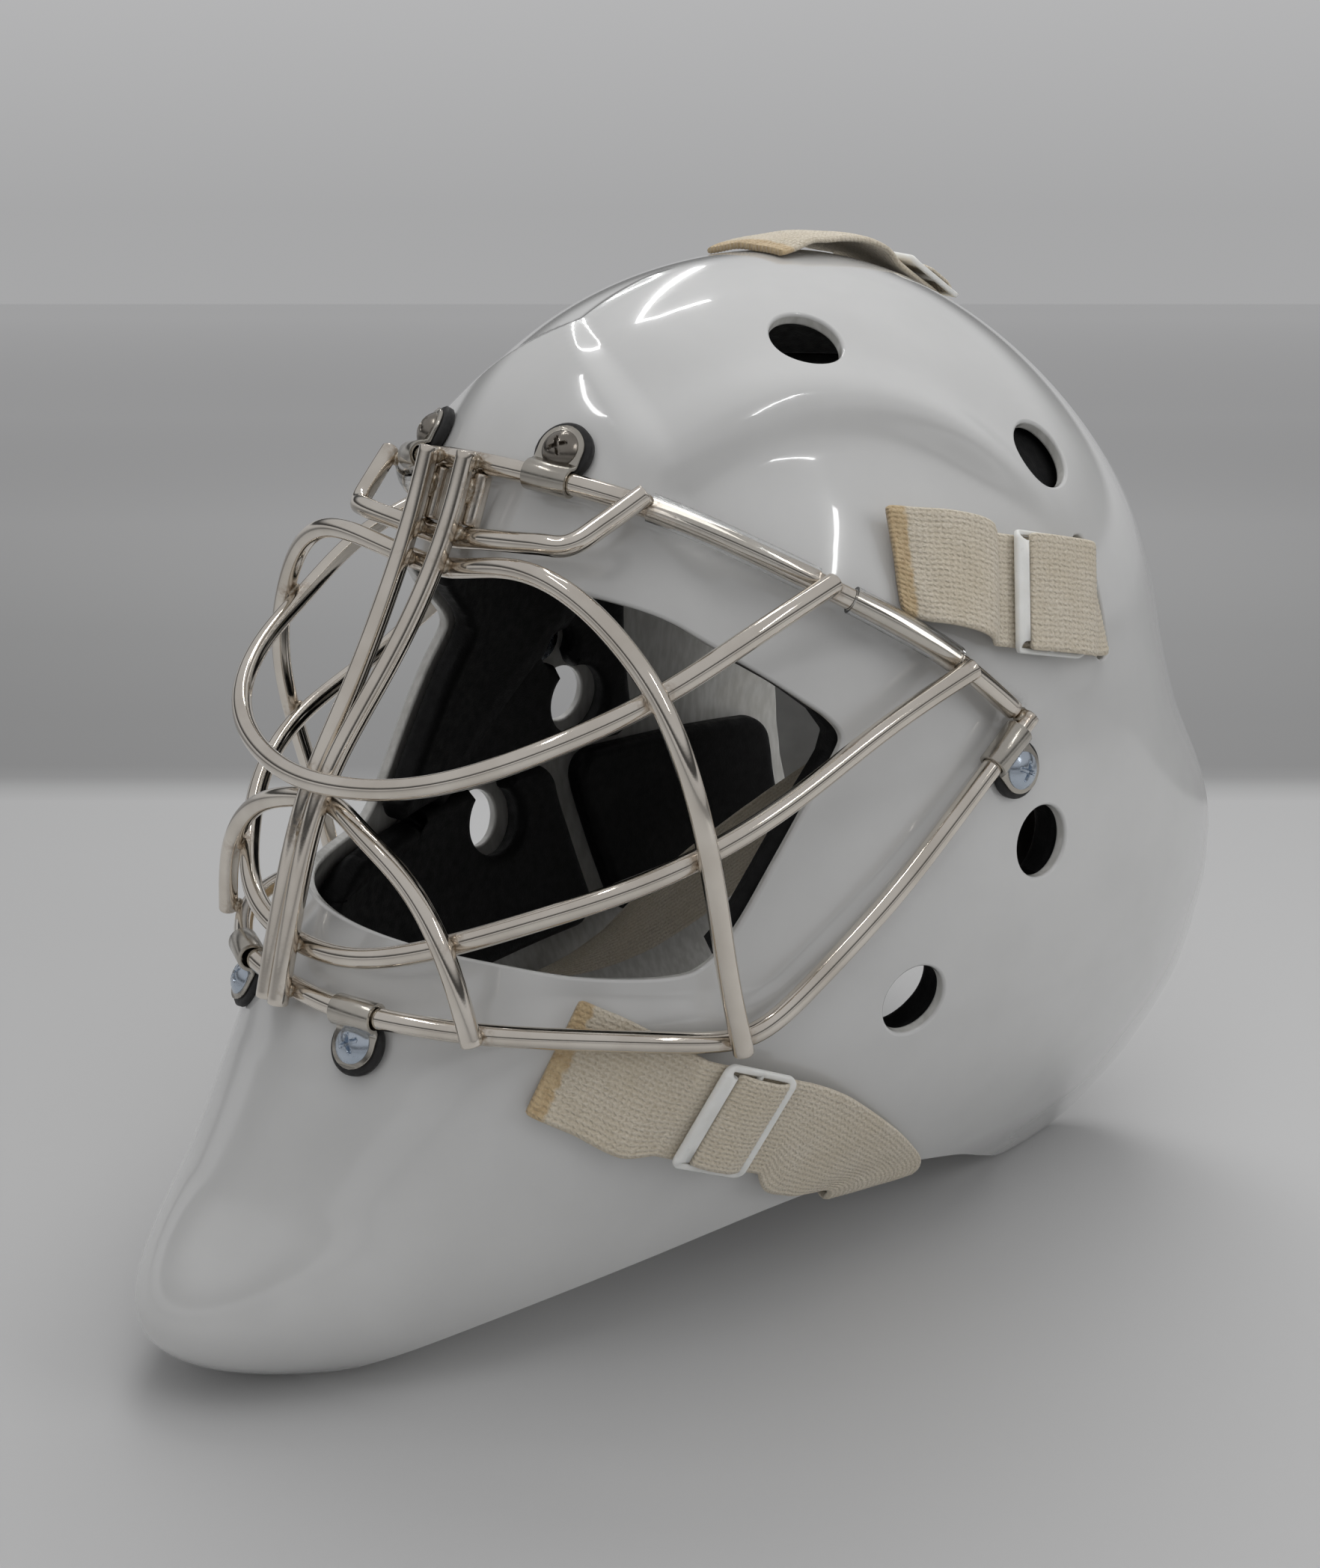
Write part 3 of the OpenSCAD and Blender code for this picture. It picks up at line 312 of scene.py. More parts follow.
def closed_sheet(under, over):
    """Points and faces of a skin round the space between two grids of points."""
    rows, cols = under.shape[:2]
    count = rows * cols
    index = np.arange(count).reshape(rows, cols)
    quads = np.stack([index[:-1, :-1], index[:-1, 1:], index[1:, 1:], index[1:, :-1]], -1).reshape(-1, 4)
    border = np.concatenate([index[0, :-1], index[:-1, -1], index[-1, :0:-1], index[:0:-1, 0]])
    following = np.roll(border, -1)
    sides = np.stack([border, following, following + count, border + count], -1)
    faces = np.concatenate([quads[:, ::-1], quads + count, sides])
    return np.concatenate([under.reshape(-1, 3), over.reshape(-1, 3)]), faces


# Trimming a surface by a field
NEAR_ZERO, CUT_STEPS = 1e-4, 5


def clip_grid(surface, field, a, v, closed):
    """Cuts a grid of the surface where the field is 0, keeping what is below it.

    surface(a, v) gives points and normals, and field(points, normals, places) gives the distance
    along the surface and its direction. A closed grid runs all round, up to a pole. Returns the cut
    mesh and the border's segments.
    """
    rows, cols = len(v), len(a)
    av = np.stack(np.meshgrid(a, v), -1).reshape(-1, 2)
    index = np.arange(rows * cols).reshape(rows, cols)
    if closed:
        index[-1, :] = index[-1, 0]
    left, right = (index, np.roll(index, -1, 1)) if closed else (index[:, :-1], index[:, 1:])
    q00, q01, q10, q11 = left[:-1], right[:-1], left[1:], right[1:]
    tri = np.concatenate([np.stack([q00, q01, q11], -1).reshape(-1, 3),
                          np.stack([q00, q11, q10], -1).reshape(-1, 3)])
    tri = tri[(tri[:, 0] != tri[:, 1]) & (tri[:, 1] != tri[:, 2]) & (tri[:, 0] != tri[:, 2])]
    p, n = surface(av[:, 0], av[:, 1])
    g = field(p, n, av)[0]
    g = np.where(np.abs(g) < NEAR_ZERO, NEAR_ZERO, g)
    inside = g[tri] < 0
    count = inside.sum(1)
    whole = tri[count == 3]
    one, two = tri[count == 1], tri[count == 2]
    k = np.argmax(g[one] < 0, 1)
    one = np.stack([one[np.arange(len(one)), (k + i) % 3] for i in range(3)], -1)
    k = np.argmax(g[two] >= 0, 1)
    two = np.stack([two[np.arange(len(two)), (k + 1 + i) % 3] for i in range(3)], -1)
    edges = np.concatenate([one[:, [0, 1]], one[:, [0, 2]], two[:, [1, 2]], two[:, [0, 2]]])
    lo, hi = edges.min(1), edges.max(1)
    keys, inverse = np.unique(lo * (rows * cols) + hi, return_inverse=True)
    i, j = keys // (rows * cols), keys % (rows * cols)
    start, end = av[i].copy(), av[j].copy()
    if closed:
        jump = end[:, 0] - start[:, 0]
        end[:, 0] -= 360.0 * np.round(jump / 360.0)
    gi, gj = g[i], g[j]
    t0, t1, g0, g1 = np.zeros(len(i)), np.ones(len(i)), gi.copy(), gj.copy()
    for step in range(CUT_STEPS):
        t = np.clip(t0 - g0 * (t1 - t0) / (g1 - g0), 0, 1)
        if step % 2:
            t = 0.5 * (t0 + t1)
        at = start + (end - start) * t[:, None]
        pc, nc = surface(at[:, 0], at[:, 1])
        gc = field(pc, nc, at)[0]
        same = np.sign(gc) == np.sign(g0)
        t0, g0 = np.where(same, t, t0), np.where(same, gc, g0)
        t1, g1 = np.where(same, t1, t), np.where(same, g1, gc)
    t = np.clip(t0 - g0 * (t1 - t0) / np.where(g1 == g0, 1, g1 - g0), 0, 1)
    at = start + (end - start) * t[:, None]
    pc, nc = surface(at[:, 0], at[:, 1])
    base = rows * cols
    cut = base + inverse
    m1, m2 = len(one), len(two)
    a01, a02 = cut[:m1], cut[m1:2 * m1]
    b12, b02 = cut[2 * m1:2 * m1 + m2], cut[2 * m1 + m2:]
    faces = np.concatenate([whole, np.stack([one[:, 0], a01, a02], -1),
                            np.stack([two[:, 0], two[:, 1], b12], -1),
                            np.stack([two[:, 0], b12, b02], -1)])
    border = np.concatenate([np.stack([a01, a02], -1), np.stack([b12, b02], -1)])
    points, normals = np.concatenate([p, pc]), np.concatenate([n, nc])
    params = np.concatenate([av, at])
    used = np.unique(faces)
    renumber = np.full(len(points), -1)
    renumber[used] = np.arange(len(used))
    return points[used], normals[used], params[used], renumber[faces], renumber[border]


def thick_sheet(surface, field, a, v, thick, rim, closed=False, rim_steps=4):
    """A sheet under a surface, with rounded rims. Returns its points, faces, normals and depth."""
    def inner_field(p, n, av):
        g, b = field(p, n, av)
        return g + rim, b
    p, n, av, faces, border = clip_grid(surface, inner_field, a, v, closed)
    on_border = np.unique(border)
    pb, nb = p[on_border], n[on_border]
    b = field(pb, nb, av[on_border])[1]
    local = np.full(len(p), -1)
    local[on_border] = np.arange(len(on_border))
    seg = local[border]
    rows_p, rows_n, depth = [], [], []
    drop = min(rim, thick / 2)
    steps = list(range(1, rim_steps + 1))
    for s, side in [(s, 1) for s in steps] + [(s, -1) for s in steps[::-1]]:
        angle = 0.5 * math.pi * s / rim_steps
        low = drop * (1 - math.cos(angle))
        if side < 0:
            low = thick - low
        rows_p.append(pb + b * rim * math.sin(angle) - nb * low)
        rows_n.append(side * nb * math.cos(angle) + b * math.sin(angle))
        depth.append(np.full(len(pb), low))
    m, k = len(p), len(on_border)
    points = np.concatenate([p, p - n * thick] + rows_p)
    normals = np.concatenate([n, -n] + rows_n)
    all_depth = np.concatenate([np.zeros(m), np.full(m, thick)] + depth)
    ids = [on_border] + [2 * m + r * k + np.arange(k) for r in range(len(rows_p))] + [m + on_border]
    quads = []
    for upper, lower in zip(ids[:-1], ids[1:]):
        quads.append(np.stack([upper[seg[:, 1]], upper[seg[:, 0]], lower[seg[:, 0]], lower[seg[:, 1]]], -1))
    quads = np.concatenate(quads)
    tris = np.concatenate([faces, faces[:, ::-1] + m, quads[:, [0, 1, 2]], quads[:, [0, 2, 3]]])
    return points, tris, normals, all_depth


def polygon_field(points):
    """Signed distance in side view, positive outside a closed outline, and its direction."""
    p = np.asarray(points, float)
    q = np.roll(p, -1, 0)
    e = q - p
    length2 = np.maximum((e * e).sum(1), 1e-9)

    def field(x):
        y = x[:, 1:3]
        best = np.full(len(y), 1e9)
        near = np.zeros_like(y)
        odd = np.zeros(len(y), bool)
        for i in range(len(p)):
            t = np.clip(((y - p[i]) @ e[i]) / length2[i], 0, 1)
            c = p[i] + t[:, None] * e[i]
            d = ((y - c) ** 2).sum(1)
            closer = d < best
            best = np.where(closer, d, best)
            near = np.where(closer[:, None], c, near)
            if e[i, 1] != 0:
                crosses = (p[i, 1] > y[:, 1]) != (q[i, 1] > y[:, 1])
                odd ^= crosses & (y[:, 0] < p[i, 0] + (y[:, 1] - p[i, 1]) * e[i, 0] / e[i, 1])
        distance = np.sqrt(best)
        sign = np.where(odd, -1.0, 1.0)
        away = (y - near) / np.maximum(distance, 1e-6)[:, None] * sign[:, None]
        g = np.concatenate([np.zeros((len(y), 1)), away], 1)
        return distance * sign, g
    return field


# The least share of a distance's slope that is taken to lie along the surface
LEAST_SLOPE = 0.25


def along_surface(g, gradient, n):
    """A distance in space as one along the surface, and its direction in the surface."""
    t = gradient - (gradient * n).sum(1, keepdims=True) * n
    size = np.maximum(np.linalg.norm(t, axis=1), LEAST_SLOPE)
    return g / size, unit(t)


def smooth_outline(points, first, last):
    """The outline with its points from first to last joined by a smooth curve."""
    p = np.asarray(points, float)
    middle = curve(p[first:last + 1], 6)
    return np.concatenate([p[:first], middle, p[last + 1:]])


# The shell's outline and its face opening in side view, as (y, z) places drawn in the source
OUTLINE = [
    (-170, 0), (-118, 0), (-104, 8), (-78, 18), (-38, 27), (15, 35), (54, 34), (90, 24),
    (114, 12), (132, 3), (146, 0), (166, 0), (178, 5), (190, 18), (200, 45), (205, 80),
    (206, 110), (201, 140), (189, 162), (178, 182), (174, 205), (177, 235), (177, 262),
    (173, 282), (166, 300), (150, 330), (-170, 330)]
FACE = [
    (-200, 128), (-84, 128), (-66, 125.5), (-49, 122.5), (-30, 121.5), (-21, 124),
    (-12, 133.5), (0, 152), (12, 170), (19.5, 179.5), (21.5, 184), (18.5, 189),
    (12, 194.5), (1, 203.5), (-8, 211), (-17, 218), (-29, 223), (-41, 225.5), (-60, 226),
    (-200, 226)]
# Places of the vents and of the strap slot, in side view
VENTS = [(89, 142.6), (41.3, 102.6), (114.7, 253), (50.6, 287.5)]
SLOT_AT, SLOT_LEAN, SLOT_W, SLOT_L, SLOT_CORNER = (121, 211), 8.0, 7.0, 39.0, 3.2
SCREW_HOLE_R = 3.7
# How far from its middle a hole reaches along its axis, a slot along the shell, and a value for beyond
HOLE_REACH, SLOT_REACH, FAR_OFF = 20, 60, -99.0


def side_frame(y, z):
    """Place, normal, and the directions along and up the shell's left side."""
    a, v = float(a_at_y(y, z)), float(v_of(z))
    p, n = section(a, v), skin_normal(a, v)
    x = unit(np.cross((0, 0, 1), n))
    return p, n, x, np.cross(n, x)


def hole_fields():
    """Round holes: centre, axis, radius, for both sides."""
    holes = [side_frame(y, z)[:2] + (VENT_D / 2,) for y, z in VENTS]
    holes += [(s[0], s[3], SCREW_HOLE_R) for s in SCREWS]
    return holes + [(mirrored(p), mirrored(n), r) for p, n, r in holes]


def round_hole(p, hole):
    """Distance into a round hole, and the way into it."""
    centre, axis, radius = hole
    d = p - centre
    along = d @ axis
    radial = d - along[:, None] * axis
    size = np.linalg.norm(radial, axis=1)
    g = np.where(np.abs(along) < HOLE_REACH, radius - size, FAR_OFF)
    return g, -radial / np.maximum(size, 1e-6)[:, None]


def slot_axes():
    """The strap slot's middle, its axis through the wall, and the ways across and along it."""
    centre, n, x0, y0 = side_frame(*SLOT_AT)
    lean = math.radians(SLOT_LEAN)
    x = math.cos(lean) * x0 + math.sin(lean) * y0
    return centre, n, x, np.cross(n, x)


def rounded_box(qx, qy, corner):
    """Distance outside a round-cornered box and its slope, from places past the corner's centre."""
    ox, oy = np.maximum(qx, 0), np.maximum(qy, 0)
    out = np.sqrt(ox * ox + oy * oy)
    size = np.maximum(out, TINY)
    gx = np.where(out > TINY, ox / size, (qx > qy) * 1.0)
    gy = np.where(out > TINY, oy / size, (qx <= qy) * 1.0)
    return out + np.minimum(np.maximum(qx, qy), 0) - corner, gx, gy


def slot_hole(p, side):
    """The strap slot, or its mirror image with side -1."""
    centre, n, x, y = slot_axes()
    flip = np.array((side, 1.0, 1.0))
    d = (p * flip) - centre
    lx, ly, ln = d @ x, d @ y, d @ n
    qx, qy = np.abs(lx) - SLOT_W / 2 + SLOT_CORNER, np.abs(ly) - SLOT_L / 2 + SLOT_CORNER
    g, gx, gy = rounded_box(qx, qy, SLOT_CORNER)
    g = np.where((np.abs(ln) < HOLE_REACH) & (np.abs(ly) < SLOT_REACH), -g, FAR_OFF)
    return g, -((gx * np.sign(lx))[:, None] * x + (gy * np.sign(ly))[:, None] * y) * flip


def most(fields, n):
    """The largest of several distances along the surface, with its direction."""
    best, way = None, None
    for g, gradient in fields:
        s, b = along_surface(g, gradient, n)
        if best is None:
            best, way = s, b
        else:
            more = s > best
            best, way = np.where(more, s, best), np.where(more[:, None], b, way)
    return best, way


# Cage wires, by places on their middle lines drawn in the source
WIRE_R = 3.0
TOP_BAR = [(0, -34, 255.5), (16, -33, 254.5), (31.5, -28.5, 253), (46, -22.5, 250),
           (58, -14.5, 246.5), (75, -2, 238.5), (90, 16.5, 227), (101.5, 33.4, 216.2),
           (109.3, 53.9, 202.9), (114.6, 75.2, 185.2)]
LOWER_BAR = [(117, 80, 183.2), (116.5, 64, 170.5), (116, 52, 161), (113.5, 30.5, 142),
             (109.5, 11.5, 126), (105, -7, 112), (102.5, -13, 106.5), (100, -17.5, 105),
             (91.5, -38.5, 108), (74.5, -65.5, 111.5), (60, -80.5, 112.5), (37.5, -94, 113),
             (22, -99, 113), (0, -100, 112.5)]
CENTRE_BAR = [(9, -39.3, 258.7), (9, -45.5, 240.5), (8, -56.5, 219), (6.5, -66, 202.5),
              (4.2, -74, 190), (3.2, -83, 178), (3.2, -87.5, 172), (3.2, -91, 164), (3.2, -95.5, 148),
              (3.2, -101, 131), (3.2, -106, 112.5), (3.2, -106.6, 109.5)]
EYE_RING = [(104.8, -22, 104), (103, -27, 126.5), (104.5, -31.5, 148), (104.5, -37.5, 171),
            (99.5, -40.5, 192), (90.5, -40.5, 206.5), (79.5, -44.5, 217), (66, -46, 227),
            (51, -48.5, 232.5), (33, -48, 230.5), (13, -46.3, 227), (0, -42, 224.5)]
UPPER_CROSS = [(97.5, 16.5, 227.7), (96, -12.5, 217.5), (86.5, -37.5, 202.5),
               (80.5, -52.5, 197), (73.5, -63, 192), (62, -75, 185), (52, -82, 181), (37, -87.5, 177),
               (0, -94.2, 173.5)]
LOWER_CROSS = [(115.9, 54.9, 201.5), (110, 37, 192.5), (107, 19, 184), (103.5, -6.5, 171),
               (99, -32.5, 162), (92.5, -45, 156), (83.5, -57, 151), (72, -68, 145.5), (57.5, -78, 138),
               (47, -85.5, 134), (33, -92.5, 128.5), (19.5, -95.5, 126), (0, -96, 125)]
MOUTH_ARC = [(65.5, -84.2, 112), (62.5, -85, 123), (55, -86.5, 139.5), (40.5, -86, 152.5),
             (21, -89, 160.5), (9.5, -86.3, 163.5), (0, -81.5, 164)]
VISOR = [(61, -18.7, 251), (56, -29, 243.5), (51, -37, 238), (41.5, -41, 237.5),
         (20.5, -42, 236), (0, -40.5, 234)]
STUB = [(9.3, -34.5, 252.1), (9.3, -39.7, 237.9)]
WIRES = {
    "cage_top_bar": across(TOP_BAR[::-1]), "cage_lower_bar": across(LOWER_BAR),
    "visor_bar": across(VISOR), "eye_ring": across(EYE_RING),
    "upper_cross_bar": across(UPPER_CROSS), "lower_cross_bar": across(LOWER_CROSS),
    "mouth_arc": across(MOUTH_ARC),
    "centre_bar_left": np.array(CENTRE_BAR, float), "centre_bar_right": mirrored(CENTRE_BAR),
    "stub_left": np.array(STUB, float), "stub_right": mirrored(STUB)}
# How far along a wire its run is evened out: a long bend stays, and a short dent goes
FAIR = {"cage_top_bar": 10.0, "cage_lower_bar": 7.0, "eye_ring": 13.0, "upper_cross_bar": 12.0,
        "lower_cross_bar": 12.0, "mouth_arc": 10.0, "centre_bar_left": 12.0, "centre_bar_right": 12.0}


def evened(path, reach, step=2.0):
    """The path with its dents taken out, between the same two ends."""
    s = length_along(path)
    n = max(8, int(round(s[-1] / step)))
    p = at_lengths(path, s, np.linspace(0, s[-1], n + 1))
    bend = np.zeros((n - 1, n + 1))
    for i in range(n - 1):
        bend[i, i:i + 3] = (1.0, -2.0, 1.0)
    hold = np.ones(n + 1)
    hold[[0, -1]] = 1e5
    stiff = (reach / step) ** 4
    return np.linalg.solve(np.diag(hold) + stiff * bend.T @ bend, hold[:, None] * p)


AXES = {name: curve(drawn(p), 10) for name, p in WIRES.items()}
AXES.update({name: evened(AXES[name], reach) for name, reach in FAIR.items()})


def tangents(p):
    t = np.empty_like(p)
    t[1:-1] = p[2:] - p[:-2]
    t[0], t[-1] = p[1] - p[0], p[-1] - p[-2]
    return unit(t)


def turning_frames(p, start=(0.0, -1.0, 0.3)):
    """Directions across a path that turn as little as they can along it."""
    t = tangents(p)
    u = np.empty_like(p)
    u[0] = unit(np.cross(t[0], start))
    for i in range(1, len(p)):
        u[i] = unit(u[i - 1] - np.dot(u[i - 1], t[i]) * t[i])
    return t, u, np.cross(t, u)


def ring_faces(rings, n, ends=True):
    faces = []
    for r in range(rings - 1):
        for i in range(n):
            j = (i + 1) % n
            faces.append((r * n + i, r * n + j, (r + 1) * n + j, (r + 1) * n + i))
    if ends:
        faces.append(tuple(range(n - 1, -1, -1)))
        faces.append(tuple((rings - 1) * n + i for i in range(n)))
    return faces


def tube(path, radius, sides=24, bevel=0.45):
    """Points, faces and run of a round wire with flat ends that have a small bevel."""
    t, u, w = turning_frames(path)
    length = length_along(path)
    rings = []
    for end, sign in ((0, -1), (-1, 1)):
        rings.append([(path[end], radius - bevel, end),
                      (path[end] - sign * bevel * 0.3 * t[end], radius - bevel * 0.3, end),
                      (path[end] - sign * bevel * t[end], radius, end)])
    rows = rings[0] + [(path[i], radius, i) for i in range(1, len(path) - 1)] + rings[1][::-1]
    angle = 2 * math.pi * np.arange(sides) / sides
    points, run = [], []
    for centre, r, i in rows:
        ring = np.cos(angle)[:, None] * u[i] + np.sin(angle)[:, None] * w[i]
        points.append(centre + r * ring)
        run.append(np.full(sides, length[i]))
    points = np.concatenate(points)
    return points, ring_faces(len(rows), sides), np.concatenate(run)


# How much room there may be between two welded wires, and how far apart two welds on a wire lie
WELD_ROOM, WELDS_APART = 2.2, 12


def crossings():
    """Places where two wires are welded: a place on each, and the way that each runs there."""
    found = []
    names = list(AXES)
    for i, a in enumerate(names):
        for b in names[i + 1:]:
            p, q = AXES[a], AXES[b]
            d = np.linalg.norm(p[:, None] - q[None], axis=2)
            rows, cols = np.where(d < 2 * WIRE_R + WELD_ROOM)
            groups = []
            for r, c in zip(rows, cols):
                for g in groups:
                    if np.linalg.norm(p[r] - p[g[-1][0]]) < WELDS_APART:
                        g.append((r, c))
                        break
                else:
                    groups.append([(r, c)])
            for g in groups:
                r, c = min(g, key=lambda rc: d[rc])
                found.append((p[r], q[c], tangents(p)[r], tangents(q)[c]))
    return found


WELDS = crossings()
# A bead: half its length, width and height, and what is added to its length where wires run alike
BEAD, BEAD_MORE = (2.6, 2.3, 1.7), 1.5


def weld_bead(name, weld, seed):
    """A small bead of weld metal round the place where two wires touch."""
    p, q, ta, tb = weld
    middle = (p + q) / 2
    z = unit(q - p)
    x = unit(ta + (tb if np.dot(ta, tb) > 0 else -tb))
    x = unit(x - np.dot(x, z) * z)
    y = np.cross(z, x)
    sharp = abs(float(np.dot(ta, tb)))
    long_r = BEAD[0] + BEAD_MORE * sharp
    rng = np.random.default_rng(seed)
    points, rings, n = [], 9, 20
    uneven = rng.uniform(0.9, 1.1, n)
    uneven = (uneven + np.roll(uneven, 1) + np.roll(uneven, -1)) / 3
    for r in range(1, rings):
        polar = math.pi * r / rings
        for i in range(n):
            around = 2 * math.pi * i / n
            points.append(middle + long_r * uneven[i] * math.sin(polar) * math.cos(around) * x
                          + BEAD[1] * uneven[i] * math.sin(polar) * math.sin(around) * y
                          + BEAD[2] * math.cos(polar) * z)
    mesh_object(name, points, ring_faces(rings - 1, n), material=MATERIALS["weld"], slot="wire")


# How far the tint of a weld reaches along the wires
TINT_R = 2.6


def add_cage():
    """The wires, tinted near their welds, and a bead at each weld."""
    centres = np.array([(p + q) / 2 for p, q, _, _ in WELDS])
    for name, path in AXES.items():
        points, faces, run = tube(path, WIRE_R)
        wire = mesh_object("wire_" + name, points, faces, material=MATERIALS["wire"], slot="wire")
        near = np.sqrt(((points[:, None] - centres[None]) ** 2).sum(2).min(1))
        set_value(wire, "weld", np.exp(-(np.maximum(near - TINT_R, 0) / TINT_R) ** 2))
        set_value(wire, "along", run * MM)
        if name.startswith("stub"):
            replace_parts(wire, "visor_stubs")
        else:
            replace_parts(wire, name)
    for i, weld in enumerate(WELDS):
        weld_bead(f"weld_{i:02d}", weld, i)


# Screws' places
def screw_frame(place, wire, by_x):
    """A screw's place, the ways along the wire, to it and out of the shell, and where the wire lies."""
    s_a = float(a_at_x(*place)) if by_x else float(a_at_y(*place))
    s_v = float(v_of(place[1]))
    s, n = section(s_a, s_v), skin_normal(s_a, s_v)
    path = curve(drawn(wire), 2)
    i = int(np.argmin(np.linalg.norm(path - s, axis=1)))
    q = path[i]
    t = unit(path[min(len(path) - 1, i + 1)] - path[max(0, i - 1)])
    z = unit(n - np.dot(n, t) * t)
    side = 1.0 if np.dot(np.cross(z, t), q - s) > 0 else -1.0
    y = side * np.cross(z, t)
    return s, side * t, y, z, (float(np.dot(y, q - s)), float(np.dot(z, q - s)))


SCREWS = [screw_frame((29.5, 257), TOP_BAR, True), screw_frame((29.5, 103), LOWER_BAR, True),
          screw_frame((76.2, 167.4), LOWER_BAR, False)]


# Shell: the rounding of its rims, how many columns and rows its grid has, and the share of rows
# that lie below the crown
SHELL_RIM = 1.1
QUICK_GRID, FULL_GRID, LOW_SHARE = (360, 130), (720, 250), 0.62


def add_shell():
    """The laminate, trimmed to its outline, with its face opening, vents, slots and screw holes."""
    outline = polygon_field(smooth_outline([(y - MID_Y, max(z, 0)) for y, z in OUTLINE], 1, 25))
    face = polygon_field(smooth_outline([(y - MID_Y, z) for y, z in FACE], 1, 18))
    holes = hole_fields()

    def field(p, n, av):
        go, wo = outline(p)
        gf, wf = face(p)
        parts = [(go, wo), (-gf, -wf)] + [round_hole(p, h) for h in holes]
        parts += [slot_hole(p, side) for side in (1.0, -1.0)]
        return most(parts, n)

    def surface(a, v):
        return section(a, v), skin_normal(a, v)
    cols, rows = FULL_GRID
    low = int(rows * LOW_SHARE)
    a = np.linspace(0, 360, cols, endpoint=False)
    v = np.concatenate([np.linspace(V_BOTTOM, CROWN_Z, low, endpoint=False),
                        np.linspace(CROWN_Z, V_TOP, rows - low)])
    points, faces, normals, depth = thick_sheet(surface, field, a, v, WALL, SHELL_RIM, closed=True)
    shell = mesh_object("shell_laminate", points, faces, normals, material=MATERIALS["laminate"],
                        slot="laminate")
    set_value(shell, "depth", depth / WALL)
    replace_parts(shell, "shell")
    return shell


# Clips, pads and screws
CLIP_W, CLIP_T, PAD_R = 14.0, 1.2, 8.7
# The clip's turn round the wire, its bend before it, how far the bend lies off, and its least reach
WRAP_R, WRAP_END, CLIP_BEND, BEND_ROOM, BEND_LEAST = 3.8, -115, 1.2, 1.6, 1.4
TONGUE_STEPS, TONGUE_TIP = 14, 0.16
SOFT_EDGE = 0.25
# A screw: its head's height, the height of the head's edge and the shank's radius, then its cross:
# half width, reach, depth and turn
HEAD_H, HEAD_EDGE, SHANK_R = 2.7, 0.35, 2.4
CROSS_W, CROSS_REACH, CROSS_DEPTH, CROSS_TURN = 0.62, 3.0, 1.3, 0.5
# For each clip: its name, how high its tongue lies, the screw's look and slot, and its head's radius
CLIPS = (("forehead", 3.4, "nickel", "dark_nickel", 5.4), ("chin", 2.8, "zinc", "zinc", 5.6),
         ("side", 2.8, "zinc", "zinc", 5.6))
NUT_PROFILE = ((3.1, -5), (3.1, -1.2), (9.0, -1.2), (9.3, -0.7), (9.3, -0.2), (2.8, -0.2), (2.8, -5))


def sheet_strip(path, width, thick=CLIP_T, steps=2):
    """A bent strip of sheet along a path in the (y, z) plane, with softened long edges."""
    path = np.array(path, float)
    t = np.gradient(path, axis=0)
    t = t / np.linalg.norm(t, axis=1)[:, None]
    n = np.stack([-t[:, 1], t[:, 0]], -1)
    ring = []
    for quarter, (sx, sn) in enumerate(((1, 1), (-1, 1), (-1, -1), (1, -1))):
        for k in range(steps + 1):
            turn = math.pi / 2 * (k / steps + quarter)
            ring.append((sx, sn, SOFT_EDGE * math.cos(turn), SOFT_EDGE * math.sin(turn)))
    rows = []
    for at, way, w in zip(path, n, width):
        rows.append([(sx * (w / 2 - SOFT_EDGE) + ex, *(at + way * (sn * (thick / 2 - SOFT_EDGE) + ez)))
                     for sx, sn, ex, ez in ring])
    return np.array(rows)


def arc(centre, radius, start, end, count):
    """Places on an arc between two angles in degrees."""
    angles = np.radians(np.linspace(start, end, count))
    return [(centre[0] + radius * math.cos(a), centre[1] + radius * math.sin(a)) for a in angles]


def clip_path(k, low):
    """The clip's middle line: the tongue, then up and round the wire."""
    y_w, z_w = SCREWS[k][4]
    z_t = low + CLIP_T / 2
    tongue = [math.pi / 2 * i / TONGUE_STEPS for i in range(TONGUE_STEPS + 1)]
    path = [(-CLIP_W / 2 + CLIP_W / 2 * (1 - math.cos(a)), z_t) for a in tongue]
    turn = math.degrees(math.asin(max(-1, min(1, (z_t + CLIP_BEND - z_w) / WRAP_R))))
    bend_y = max(BEND_LEAST, y_w - WRAP_R * math.cos(math.radians(turn)) - BEND_ROOM)
    path += [(y, z_t) for y in np.linspace(BEND_LEAST / 2, bend_y, 6)]
    path += arc((bend_y, z_t + CLIP_BEND), CLIP_BEND, -90, -20, 4)[1:]
    path += arc((y_w, z_w), WRAP_R, 180 - turn, WRAP_END, 26)
    width = [CLIP_W * max(TONGUE_TIP, math.sin(a)) for a in tongue]
    return path, width + [CLIP_W] * (len(path) - len(tongue))


def in_frame(k, points):
    """Points drawn at a screw, in the frame."""
    s, x, y, z = SCREWS[k][:4]
    points = np.asarray(points, float)
    return s + points[:, :1] * x + points[:, 1:2] * y + points[:, 2:] * z


def lathe(profile, sides):
    """Points and faces of a turned piece, from (radius, height) pairs."""
    angle = 2 * math.pi * np.arange(sides) / sides
    rows = [[(r * math.cos(a), r * math.sin(a), z) for a in angle] for r, z in profile]
    return np.array(rows).reshape(-1, 3), ring_faces(len(profile), sides)


def add_pair(k, name, points, faces, material, slot, node, crease):
    """A fastener's piece at a screw on the left and its twin on the right, which replace a node together."""
    left = mesh_object(name + "_left", in_frame(k, points), faces, material=MATERIALS[material], slot=slot)
    left.data.set_sharp_from_angle(angle=math.radians(crease))
    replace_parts(left, node)
    add_twin(left, name + "_right", slot, node)


